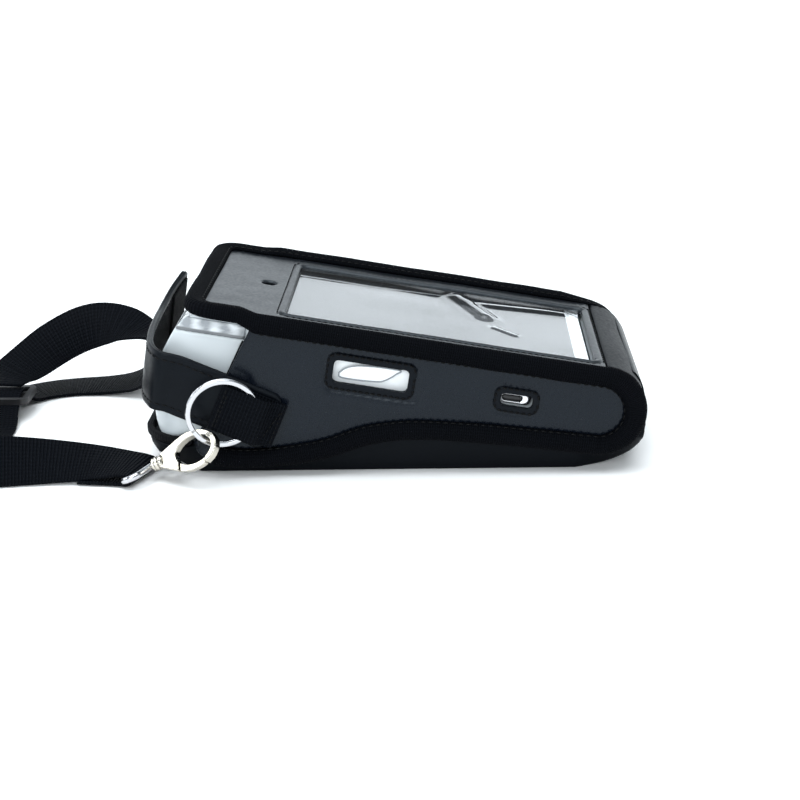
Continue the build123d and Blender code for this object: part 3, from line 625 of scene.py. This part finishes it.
def rim_binding():
    """The tape all round: higher along the far side, lower at the far slim end, fuller at the near one."""
    far = np.clip(RIM[:, 1] / (2 * INNER_HALF) + 0.5, 0, 1)[:, None]
    share = RIM_SHARE[:, None, None]
    sections = TAPE_NEAR * (1 - far[..., None]) + TAPE_FAR * far[..., None]
    sections = sections * (1 - share) + TAPE_MOUTH * share
    height = 1.25 - 0.9 * np.clip((RIM[:, :1] - 66) / 14, 0, 1)
    crest = np.maximum(sections[..., 1] - 0.9, 0)
    sections[..., 1] += crest * far * (height - 1)
    swell = 0.9 * np.clip((RIM[:, :1] - 76) / 9, 0, 1)
    upper = np.clip((sections[..., 1] + 3) / 3, 0, 1)
    sections[..., 1] += upper * (1 - far) * swell
    wobble = 1 + 0.05 * wander(RIM, 14.0, 3.0)
    sections[:, 1:-4] *= wobble[:, None, None]
    mesh = mesh_of("rim_binding", *sweep(RIM, RIM_SIDE, RIM_UP, sections))
    new_object("rim_binding", mesh, TAPE, "case",
               ("seam_binding_near", "seam_binding_far", "mouth_binding"))
    return sections


rim_sections = rim_binding()


def rim_stitches():
    """One row round the mouth and the far front edge, and one on each side face."""
    inner = rim_sections[:, 1:3].mean(axis=1)
    top = RIM + RIM_SIDE * inner[:, :1] + RIM_UP * (inner[:, 1:] + 0.05)
    low = RIM + RIM_SIDE * 3.6 + RIM_UP * -5.65
    way = unit(RIM_SIDE - RIM_UP)
    beside = RIM_SHARE < 0.02
    half = len(RIM) // 2
    first = int(np.argmax(RIM[:, 1] > 1 - INNER_HALF))
    rows = [stitches(top[first:], RIM_UP[first:], pitch=2.7, thread=0.24)]
    for part in (slice(0, half), slice(half, None)):
        keep = beside[part]
        rows.append(stitches(low[part][keep], way[part][keep], pitch=2.7, thread=0.28))
    new_object("rim_stitches", mesh_of("rim_stitches", *joined(rows)), THREAD, "case")


rim_stitches()


# Leather panels
def box_distance(x, y, middle, half, radius):
    """How far points are outside a rounded rectangle, negative inside it."""
    dx = np.abs(x - middle[0]) - half[0] + radius
    dy = np.abs(y - middle[1]) - half[1] + radius
    return np.hypot(np.maximum(dx, 0), np.maximum(dy, 0)) + np.minimum(np.maximum(dx, dy), 0) - radius


WINDOW_MID = sum(WINDOW_X) / 2, sum(WINDOW_Y) / 2
WINDOW_L, WINDOW_W = WINDOW_X[1] - WINDOW_X[0], WINDOW_Y[1] - WINDOW_Y[0]
FRAME_STITCH = 3.1          # from the window's edge to the stitch line round it


def window_distance(x, y):
    return box_distance(x, y, WINDOW_MID, (WINDOW_L / 2, WINDOW_W / 2), 2.0)


def shape_front(points, normals):
    """A turned edge round the window, a sunk stitch line and slow waves."""
    far = window_distance(points[:, 0], points[:, 1])
    over = FRONT_OUT @ (points - [0, 0, FRONT_Z0]).T
    top = np.clip((over + 1.4) / 1.0, 0, 1)
    ridge = 0.5 * np.exp(-((far - 1.6) / 1.1) ** 2) - 0.35 * np.exp(-((far - FRAME_STITCH) / 0.45) ** 2)
    waves = 0.22 * wander(points, 24.0, 1.0) + 0.08 * wander(points, 7.0, 2.0)
    return points + FRONT_OUT * ((ridge + waves * (far > 0)) * top)[:, None]


mesh = moved(remeshed("front_panel", 0.6, 2, TILT), shape_front)
new_object("front_panel_leather", mesh, LEATHER, "case", ("front_panel",))


def window_stitches():
    """One row round the window, in the sunk line."""
    grow = 2 * FRAME_STITCH
    outline = rounded_box(WINDOW_L / math.cos(TILT) + grow, WINDOW_W + grow, 3.0, 6)
    outline = respaced(np.vstack([outline, outline[:1]]), 1.0)
    middle = FRONT_DIR * WINDOW_MID[0] / math.cos(TILT) + [0, WINDOW_MID[1], FRONT_Z0]
    line = middle + FRONT_DIR * outline[:, :1] + Y_WAY * outline[:, 1:]
    parts = stitches(line, np.tile(FRONT_OUT, (len(line), 1)), pitch=2.3, thread=0.24, lift=-0.1)
    new_object("window_stitches", mesh_of("window_stitches", *parts), THREAD, "case")


window_stitches()


def seam_distance(x, z):
    """How far points (x, z) are from the seam line."""
    line = respaced(SEAM, 3.0)
    d = np.hypot(x[:, None] - line[None, :, 0], z[:, None] - line[None, :, 1])
    return d.min(axis=1)


def shape_side(sign):
    def shift(points, normals):
        """Fuller in the middle than along the tape, dented beside the cut-outs."""
        far = seam_distance(points[:, 0], points[:, 2])
        outer = np.clip((points[:, 1] * sign - 41.4) / 1.2, 0, 1)
        bulge = 1 - np.exp(-np.maximum(far - 4, 0) / 6.0) + 0.35 * wander(points, 26.0, 4.0 + sign)
        bulge = bulge * np.clip((points[:, 0] + 62) / 14, 0, 1)
        if sign < 0:
            for x, z, length, height in (PORT, KEY):
                near = box_distance(points[:, 0], points[:, 2] + (points[:, 0] - x) * math.tan(TILT),
                                    (x, z), (length / 2 + 3.4, height / 2 + 3.4), 3.0)
                bulge = bulge * np.clip(near / 3.5, 0.0, 1) ** 0.5
        return points + np.array([0, sign, 0]) * (bulge * outer)[:, None]
    return shift


for side_sign, side_name in ((-1, "near"), (1, "far")):
    mesh = moved(remeshed(f"side_panel_{side_name}", 0.6, 2), shape_side(side_sign))
    new_object(f"side_leather_{side_name}", mesh, SIDE_LEATHER, "case",
               (f"side_panel_{side_name}",))


SAG, BEVEL = 10.5, 12.5     # how far the back sags outward at the floor, and the height it starts from


def shape_back(points, normals):
    """Slow waves, and sagging outward where the sides meet the floor."""
    x, y, z = points.T
    waves = 0.3 * wander(points, 30.0, 7.0) * np.clip((z - 0.3) / 4.0, 0, 1)
    low = np.clip(1 - z / BEVEL, 0, 1)
    side = np.clip((np.abs(y) - 15) / 12, 0, 1)
    along = np.clip((x + 84) / 14, 0, 1) * np.clip((93 - x) / 26, 0, 1)
    sag = np.sign(y) * SAG * low * side * along
    return points + normals * waves[:, None] + np.outer(sag, [0, 1, 0])


# The back panel takes the leather copy painted darker as shade.
mesh = moved(remeshed("back_panel", 0.8, 3), shape_back)
new_object("back_leather", mesh, BACK_LEATHER_SHADED, "case", ("back_panel",))

for name in ("side_edge_tape_near", "side_edge_tape_far"):
    softened(name + "_woven", name, 0.3, 1, FLAT_TAPE)
softened("lip_binding_woven", "lip_binding", 0.5, 4, FLAT_TAPE)


# Stitched frames round the cut-outs
def cutout_frame(node, opening, margin):
    x, z, length, height = opening
    softened(node + "_leather", node, 0.22, 2, TRIM_LEATHER)
    outline = rounded_box(length + 2 * margin - 0.9, height + 2 * margin - 0.9, 2.8, 6)
    line = on_side((x, z), SIDE_FACE, respaced(np.vstack([outline, outline[:1]]), 0.5))
    parts = stitches(line, np.tile(-Y_WAY, (len(line), 1)), pitch=2.2, thread=0.42, gap=0.3)
    new_object(node + "_stitches", mesh_of(node + "_stitches", *parts), THREAD, "case")


cutout_frame("port_frame", PORT, 2.6)
cutout_frame("key_frame", KEY, 2.4)


# Patch with the card slot
def shape_patch(points, normals):
    """Pressed to half its thickness on the leather under it."""
    away = points[:, [0, 2]] - END_C
    far = np.linalg.norm(away, axis=1)
    pressed = (far + far.min()) / 2
    placed = END_C + away * (pressed / far)[:, None]
    return in_plane(placed, points[:, 1])


mesh = moved(remeshed("card_patch", 0.4, 2), shape_patch)
new_object("card_patch_leather", mesh, TRIM_LEATHER, "case", ("card_patch",))

# Window film. Each crease runs from one point (x, y) to another, with a width and a height
FILM_STEP, FILM_T, FILM_DEPTH = 0.9, 0.35, 2.1
CREASES = [((21, 34), (37, 2), 3.6, 1.8), ((32, 20.5), (70, 27), 3.0, 1.0),
           ((38, -6.5), (47.5, -13.8), 1.5, 0.62)]


def bump_line(x, y, a, b, width, height):
    """A smooth ridge from a to b that fades at its ends."""
    a, b = np.array(a, float), np.array(b, float)
    run = b - a
    t = ((x - a[0]) * run[0] + (y - a[1]) * run[1]) / (run @ run)
    away = (-(x - a[0]) * run[1] + (y - a[1]) * run[0]) / np.linalg.norm(run)
    ends = np.exp(-np.maximum(np.abs(t - 0.5) - 0.42, 0) ** 2 / 0.012)
    return height * np.exp(-(away / width) ** 2) * ends


def film_height(x, y):
    """Waves and creases of the clear film, in mm over its flat place."""
    pts = np.stack([x, y, 0 * x], axis=1)
    edge = np.clip(-window_distance(x, y) / 5.0, 0, 1)
    slow = 0.22 * wander(pts * [0.6, 1, 1], 24.0, 9.0)
    creases = sum(bump_line(x, y, *crease) for crease in CREASES)
    from_y = 24.0 + 3.0 * np.clip((x + 5) / 30, 0, 1)
    rise = 1.5 * np.clip((y - from_y) / (WINDOW_Y[1] - from_y), 0, 1) ** 1.4
    return edge * (slow + creases) + rise


def window_film():
    """A sheet as large as the CAD's film, waved and creased, with a thickness."""
    low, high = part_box("window_film")
    u = np.arange(low.x / MM + 0.3, high.x / MM - 0.3, FILM_STEP)
    v = np.arange(low.y / MM + 0.3, high.y / MM - 0.3, FILM_STEP)
    x, y = (a.ravel() for a in np.meshgrid(u, v))
    top = front_points(x, y, -FILM_DEPTH) + FRONT_OUT * film_height(x, y)[:, None]
    count, rows = len(u), len(v)
    faces = [(j * count + i, j * count + i + 1, (j + 1) * count + i + 1, (j + 1) * count + i)
             for j in range(rows - 1) for i in range(count - 1)]
    mesh = mesh_of("window_film_clear", top, faces)
    obj = new_object("window_film_clear", mesh, FILM, "case", ("window_film",))
    thick = obj.modifiers.new("thickness", "SOLIDIFY")
    thick.thickness = FILM_T * MM
    thick.offset = -1


window_film()


# Closure strap: one leather strap from the sewn end round to the free end
STRAP_TOP, SEWN_SLOPE, SWING_SLOPE = (-57.5, 39.4), math.radians(23.6), math.radians(10.0)
STRAP_Y, STRAP_W, STRAP_T, HINGE_X = -44.15, 22.0, 2.2, -76.0
SWING_LINE = [(-4.4, -44.15), (-8.4, -38.5), (-10.6, -31), (-12.0, -20), (-12.6, -10), (-13.1, 2),
              (-12.9, 14), (-11.6, 28), (-8.8, 42)]
INNER_SIDES = range(7, 20)  # the section's sides on the strap's inner face
STRAP_STITCH = 2.6          # from the strap's edge to the stitches along it
HOOK_Y, HOOK_W, HOOK_T = (24.0, 40.5), 17.0, 0.8


def slope_ways(slope):
    """The ways along and up from a line that falls by this angle towards +X."""
    c, s = math.cos(slope), math.sin(slope)
    return np.array([c, 0, -s]), np.array([s, 0, c])


def closure_line():
    """Middle of the strap's top edge and its width way, from the sewn end to the free end."""
    x_way, sewn_width = slope_ways(SEWN_SLOPE)
    top = np.array([STRAP_TOP[0], 0, STRAP_TOP[1]])
    hinge_far = (HINGE_X - STRAP_TOP[0]) / math.cos(SEWN_SLOPE)
    sewn = [top + x_way * far + Y_WAY * STRAP_Y for far in (21.5, 10, 0, -10, hinge_far + 3)]
    hinge_top = top + x_way * hinge_far
    swing_x, swing_width = slope_ways(SWING_SLOPE)
    swing = [hinge_top + swing_x * x + Y_WAY * y for x, y in SWING_LINE]
    line = respaced(smooth_line(sewn + swing, 10), 1.0)
    far = along_line(line)
    bend = far[np.argmax(line[:, 0] < HINGE_X)]
    share = np.clip((far - bend + 8) / 16, 0, 1)[:, None]
    share = share * share * (3 - 2 * share)
    width = unit(sewn_width * (1 - share) + swing_width * share)
    raised = 7.2 * np.clip((line[:, 1] - 4) / 38, 0, 1) ** 1.6
    return line + UP * raised[:, None], width


def strap_section():
    """Two layers of leather sewn together: a round-edged band with a groove along each edge."""
    w, t = STRAP_W / 2, STRAP_T / 2
    half = [(w - 0.5, t), (w - 0.1, t - 0.35), (w, 0.35), (w - 0.35, 0.0), (w, -0.35),
            (w - 0.1, -t + 0.35), (w - 0.5, -t)]
    groove = [(w - STRAP_STITCH + d, depth) for d, depth in ((0.5, 0), (0, 0.22), (-0.5, 0))]
    right = half + [(x, depth - t) for x, depth in groove] + [(0, -t - 0.1)]
    left = [(-x, y) for x, y in reversed(right)][1:]
    outside = [(-x, t - depth) for x, depth in groove] + [(0, t + 0.12)]
    outside += [(x, t - depth) for x, depth in reversed(groove)]
    return np.array(right + left + outside)


def closure_strap():
    """The strap with its lining, stitches and hook tape."""
    top, width = closure_line()
    middle = top - width * STRAP_W / 2
    ahead = tangents(middle)
    out = unit(np.cross(ahead, width))
    if out[0][1] > 0:
        out = -out
    section = strap_section()
    far = along_line(middle)
    from_end = np.minimum(far, far[-1] - far)
    shrink = 1 - 0.14 * np.clip(1 - from_end / 2.5, 0, 1) ** 2
    sections = section[None] * np.stack([shrink, np.ones_like(shrink)], axis=1)[:, None]
    mesh = mesh_of("closure_strap_leather", *sweep(middle, width, out, sections))
    obj = new_object("closure_strap_leather", mesh, TRIM_LEATHER, None,
                     ("closure_strap", "closure_strap_base"))
    obj.data.materials.append(LINING)
    size = len(section)
    for face in obj.data.polygons:
        if face.index < (len(middle) - 1) * size and face.index % size in INNER_SIDES:
            face.material_index = 1
    rows = []
    for edge in (-1, 1):
        for face in (-1, 1):
            up = out * face
            line = middle + width * edge * (STRAP_W / 2 - STRAP_STITCH) + up * (STRAP_T / 2 - 0.15)
            rows.append(stitches(line[3:-3], up[3:-3], pitch=2.8, thread=0.26))
    mesh = mesh_of("closure_strap_stitches", *joined(rows))
    thread = new_object("closure_strap_stitches", mesh, THREAD, None)
    for piece in (obj, thread):
        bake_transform(piece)
    inner = middle - out * (STRAP_T / 2 + 0.45)
    keep = (middle[:, 1] > HOOK_Y[0]) & (middle[:, 1] < HOOK_Y[1])
    tape = sweep(inner[keep], width[keep], out[keep], rounded_box(HOOK_W, HOOK_T, 0.35, 2))
    mesh = mesh_of("hook_tape_fluff", *tape)
    new_object("hook_tape_fluff", mesh, FLUFF, "closure_strap", ("hook_tape",))


closure_strap()
softened("loop_tape_fluff", "loop_tape", 0.3, 1, FLUFF)

# Ring tabs: webbing folded round each ring and sewn down
FOLD, TAB_W, TAB_T = (-61.4, 29.5), 17.4, 0.9
POCKET_IN, POCKET_OUT, TAB_L, POCKET_L, TAB_SHIFT = 46.75, 50.65, 24.0, 17.6, 0.2
TAB_X, TAB_Z = slope_ways(SEWN_SLOPE)
# A tab's rows of stitches, each from one point to another: out along the tab and up from its middle
TAB_ROWS = [((19.3, -7.2), (19.3, 7.2)), ((22.9, -7.2), (22.9, 7.2)), ((19.3, -7.2), (22.9, 7.2)),
            ((1.7, -7.6), (1.7, 7.6)), ((2.6, -7.6), (2.6, 7.6))]


def ring_tab(sign, name):
    """Webbing along the side, round the ring's pocket and back, sewn at its end and beside the ring."""
    inside, outside = POCKET_IN - TAB_T / 2, POCKET_OUT + TAB_T / 2
    middle = (POCKET_IN + POCKET_OUT) / 2
    reach = outside - middle
    turn = [(reach + 0.3 - reach * math.sin(a), middle - reach * math.cos(a))
            for a in np.linspace(0, math.pi, 11)]
    back = [(8, outside), (POCKET_L - 1.5, outside - 0.1), (POCKET_L + 2.5, inside + 1.6),
            (TAB_L, inside + 1.0)]
    flat = [(TAB_L, inside), (12, inside)] + turn + back
    line = respaced(smooth_line([(x, sign * y) for x, y in flat], 8), 0.4)
    origin = np.array([FOLD[0], 0, FOLD[1]]) + TAB_Z * TAB_SHIFT
    path = origin + line[:, :1] * TAB_X + line[:, 1:] * Y_WAY
    ahead = tangents(path)
    width = np.tile(TAB_Z, (len(path), 1))
    up = np.cross(ahead, width)
    parts = sweep(path, width, up, rounded_box(TAB_W, TAB_T, 0.4, 2))
    new_object(f"ring_tab_{name}_webbing", mesh_of(name, *parts), WEBBING, "case",
               (f"ring_tab_{name}",))
    rows = []
    for a, b in TAB_ROWS:
        face = outside + TAB_T / 2
        if a[0] > 5:
            face = inside + 1.0 + TAB_T / 2 + (0.6 if a[0] < 20 else 0)
        ends = [origin + TAB_X * p[0] + TAB_Z * p[1] + Y_WAY * sign * face for p in (a, b)]
        line = respaced(ends, 0.5)
        up = np.tile(Y_WAY * sign, (len(line), 1))
        rows.append(stitches(line, up, pitch=1.9, thread=0.22, gap=0.3))
    mesh = mesh_of(name + "_thread", *joined(rows))
    new_object(f"ring_tab_{name}_stitches", mesh, THREAD, "case")


for side_sign, side_name in ((-1, "near"), (1, "far")):
    ring_tab(side_sign, side_name)
softened("tab_pad_leather", "tab_pad_far", 0.4, 2, TRIM_LEATHER)


# Split rings: two close turns of flat wire with cut ends
RING_R, RING_TURNS = 12.2, 715      # radius in mm, and how far the wire goes round in degrees
RING_SPREAD = 1.04                  # between the two turns
WIRE_W, WIRE_T = 1.8, 0.92


def joint(name):
    return next(j for j in frame["joints"] if j["name"] == name)


def split_ring(name):
    spin = joint(f"ring_{name}_spin")
    centre, axis = np.array(spin["pos_m"]) / MM, unit(spin["axis"])
    first = unit(np.cross(axis, UP))
    second = np.cross(axis, first)
    angles = np.radians(np.linspace(150, 150 + RING_TURNS, 150))
    step = 1 / (1 + np.exp(-(angles - angles[0] - 2 * math.pi) * 9))
    spread = (step - 0.5) * RING_SPREAD
    ways = first * np.cos(angles)[:, None] + second * np.sin(angles)[:, None]
    path = centre + ways * RING_R + axis * spread[:, None]
    parts = sweep(path, ways, np.tile(axis, (len(path), 1)), rounded_box(WIRE_W, WIRE_T, 0.42, 3))
    new_object(f"split_ring_{name}_wire", mesh_of(name + "_ring", *parts), NICKEL, f"ring_{name}",
               (f"split_ring_{name}",))


# Clasps: the cast hook, its gate, and the turned collar at the swivel
# Each pair is how far along the swivel's axis and the radius there
COLLAR = [(-1.6, 1.3), (-1.5, 2.3), (-0.9, 2.55), (-0.7, 2.1), (-0.3, 2.1), (-0.1, 2.6), (0.7, 2.6),
          (0.9, 2.15), (1.3, 2.15), (1.5, 2.5), (2.4, 2.7), (3.1, 2.5), (3.4, 1.5)]


def clasp(name):
    for node, voxel, rounds in ((f"clasp_{name}", 0.2, 7), (f"gate_{name}", 0.18, 3)):
        softened(node + "_cast", node, voxel, rounds, WARM_METAL, node)
    swivel = joint(f"clasp_{name}_swivel")
    at, ahead = np.array(swivel["pos_m"]) / MM, unit(swivel["axis"])
    side = unit(np.cross(ahead, UP))
    up = np.cross(side, ahead)
    angles = np.linspace(0, 2 * math.pi, 28, endpoint=False)
    circle = np.stack([np.cos(angles), np.sin(angles)], axis=1)
    path = [at + ahead * far for far, radius in COLLAR]
    ways = (np.tile(way, (len(COLLAR), 1)) for way in (side, up))
    parts = sweep(path, *ways, [circle * radius for far, radius in COLLAR])
    new_object(f"clasp_{name}_collar", mesh_of(name + "_collar", *parts), WARM_METAL, f"clasp_{name}")


for side_name in ("near", "far"):
    split_ring(side_name)
    clasp(side_name)

# Terminal
# The shell takes the white plastic painted grey as shade.
softened("terminal_shell", "terminal_body", 0.7, 3, WHITE_SHADED)
softened("printer_cover", "printer_window", 0.4, 2, PRINTER_COVER)
for node, material in (("terminal_bezel", BRIGHT), ("display_glass", SCREEN), ("sensor_window", DARK),
                       ("port_surround", BRIGHT), ("strap_slider", DARK), ("eye_near", NICKEL),
                       ("eye_far", NICKEL)):
    materials = frame["nodes"][node].data.materials
    materials.clear()
    materials.append(material)

# Outline of the port's cover, along the opening and up from its middle
LEAF = [(-11.4, -1.2), (-9.0, 1.0), (-5.2, 2.3), (0.2, 2.9), (5.6, 3.1), (10.4, 2.9), (9.0, 1.5),
        (7.4, 0.0), (5.3, -1.5), (3.2, -2.3), (-2.3, -2.8), (-7.7, -2.9), (-11.0, -2.6)]


def side_plate(node, opening, outline, material):
    """Plate with this outline and a rounded face, in place of the CAD's plate on the terminal's side."""
    low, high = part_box(node)
    inner, outer = high.y / MM, low.y / MM
    path = [(opening[0], y, opening[1]) for y in (inner, outer + 0.25, outer + 0.06, outer)]
    outlines = [outline * k for k in (1, 1, 0.98, 0.93)]
    ways = (np.tile(way, (len(path), 1)) for way in (FRONT_DIR, FRONT_OUT))
    mesh = mesh_of(node + "_plate", *sweep(path, *ways, outlines))
    new_object(node + "_plate", mesh, material, node, (node,))


def port_leaf():
    """The port's leaf-shaped cover with a thin grey rim round it: a painted shade line for the gap round the
    cover.
    """
    outline = smooth_line(LEAF + LEAF[:1], 5)[:-1]
    side_plate("port_cover", PORT, outline, BRIGHT)
    path = on_side(PORT, COVER_FACE, outline)
    ahead = unit(np.roll(path, -1, axis=0) - np.roll(path, 1, axis=0))
    out = np.tile(-Y_WAY, (len(path), 1))
    parts = sweep(path, np.cross(ahead, out), out, rounded_box(0.5, 0.35, 0.12, 2), True)
    mesh = mesh_of("port_cover_rim", *parts)
    new_object("port_cover_rim", mesh, SHADE_LINE_GREY, "port_cover")


def key_trim():
    """Bright surround of the side key: thin above and below, thick towards the slim end."""
    off_middle = [-1.7, 0]
    outer, inner = rounded_box(11.0, 4.2, 2.0, 8), rounded_box(7.2, 2.0, 0.95, 8) + off_middle
    low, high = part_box("key_bezel")
    path = on_side(KEY, high.y / MM, (outer + inner) / 2)
    half_width = on_side((0, 0), 0, (outer - inner) / 2)
    deep = (high.y - low.y) / MM
    section = [(-1, 0), (-1, deep - 0.5), (-0.7, deep - 0.1), (0, deep), (0.7, deep - 0.2), (1, deep - 0.9),
               (1, 0)]
    parts = sweep(path, half_width, np.tile(-Y_WAY, (len(path), 1)), section, True)
    mesh = mesh_of("key_bezel_trim", *parts)
    new_object("key_bezel_trim", mesh, SATIN, "case", ("key_bezel",))
    side_plate("side_key", KEY, rounded_box(6.8, 1.7, 0.8, 6) + off_middle, DARK)


port_leaf()
key_trim()


# Floor and light
def floor():
    mesh = bpy.data.meshes.new("floor")
    mesh.from_pydata([(-6, -4, 0), (6, -4, 0), (6, 12, 0), (-6, 12, 0)], [], [(0, 1, 2, 3)])
    obj = bpy.data.objects.new("floor", mesh)
    bpy.context.scene.collection.objects.link(obj)
    n = Nodes("floor")
    n.set(Base_Color=(0.97, 0.96, 0.95, 1), Roughness=0.75, Specular_IOR_Level=0.2)
    mesh.materials.append(n.material)


def area_light(name, place, target, size, power):
    data = bpy.data.lights.new(name, "AREA")
    data.shape = "RECTANGLE"
    data.size, data.size_y = size
    data.energy = power
    data.color = (0.92, 0.97, 1.0)
    obj = bpy.data.objects.new(name, data)
    bpy.context.scene.collection.objects.link(obj)
    obj.location = place
    obj.rotation_euler = (Vector(target) - Vector(place)).to_track_quat("-Z", "Y").to_euler()


def light():
    """A world with a bright cloudy wall low behind the case, dimmer all round and bright overhead, and
    soft lamps above, in front and at the side."""
    world = bpy.data.worlds.new("studio")
    bpy.context.scene.world = world
    world.use_nodes = True
    tree = world.node_tree
    shade = tree.nodes["Background"]
    shade.inputs["Color"].default_value = (0.88, 0.95, 1.0, 1)
    place = tree.nodes.new("ShaderNodeTexCoord")
    parts = tree.nodes.new("ShaderNodeSeparateXYZ")
    tree.links.new(place.outputs["Generated"], parts.inputs[0])

    def ramp(value, low, high, to_low, to_high):
        node = tree.nodes.new("ShaderNodeMapRange")
        node.interpolation_type = "SMOOTHSTEP"
        tree.links.new(value, node.inputs["Value"])
        levels = {"From Min": low, "From Max": high, "To Min": to_low, "To Max": to_high}
        for key, level in levels.items():
            if isinstance(level, float):
                node.inputs[key].default_value = level
            else:
                tree.links.new(level, node.inputs[key])
        return node.outputs[0]

    cloud = tree.nodes.new("ShaderNodeTexNoise")
    cloud.inputs["Scale"].default_value = 5.0
    tree.links.new(place.outputs["Generated"], cloud.inputs["Vector"])
    bright = ramp(cloud.outputs["Fac"], 0.3, 0.7, 1.35, 1.95)
    wall = ramp(parts.outputs["Z"], 0.44, 0.52, bright, 0.16)
    around = ramp(parts.outputs["Z"], 0.0, 0.7, 1.5, 0.25)
    level = ramp(parts.outputs["Y"], 0.35, 0.70, around, wall)
    overhead = ramp(parts.outputs["Z"], 0.72, 0.92, level, 2.3)
    tree.links.new(overhead, shade.inputs["Strength"])
    area_light("top_light", (-0.2, -0.2, 1.5), (0, 0, 0), (1.6, 1.2), 15)
    area_light("front_light", (-0.4, -1.7, 0.95), (0, 0, 0.03), (1.2, 0.6), 14)
    area_light("side_light", (-1.5, 0.1, 0.8), (-0.05, 0, 0.03), (0.7, 0.7), 6)


floor()
light()
bpy.context.scene.view_settings.view_transform = "Standard"
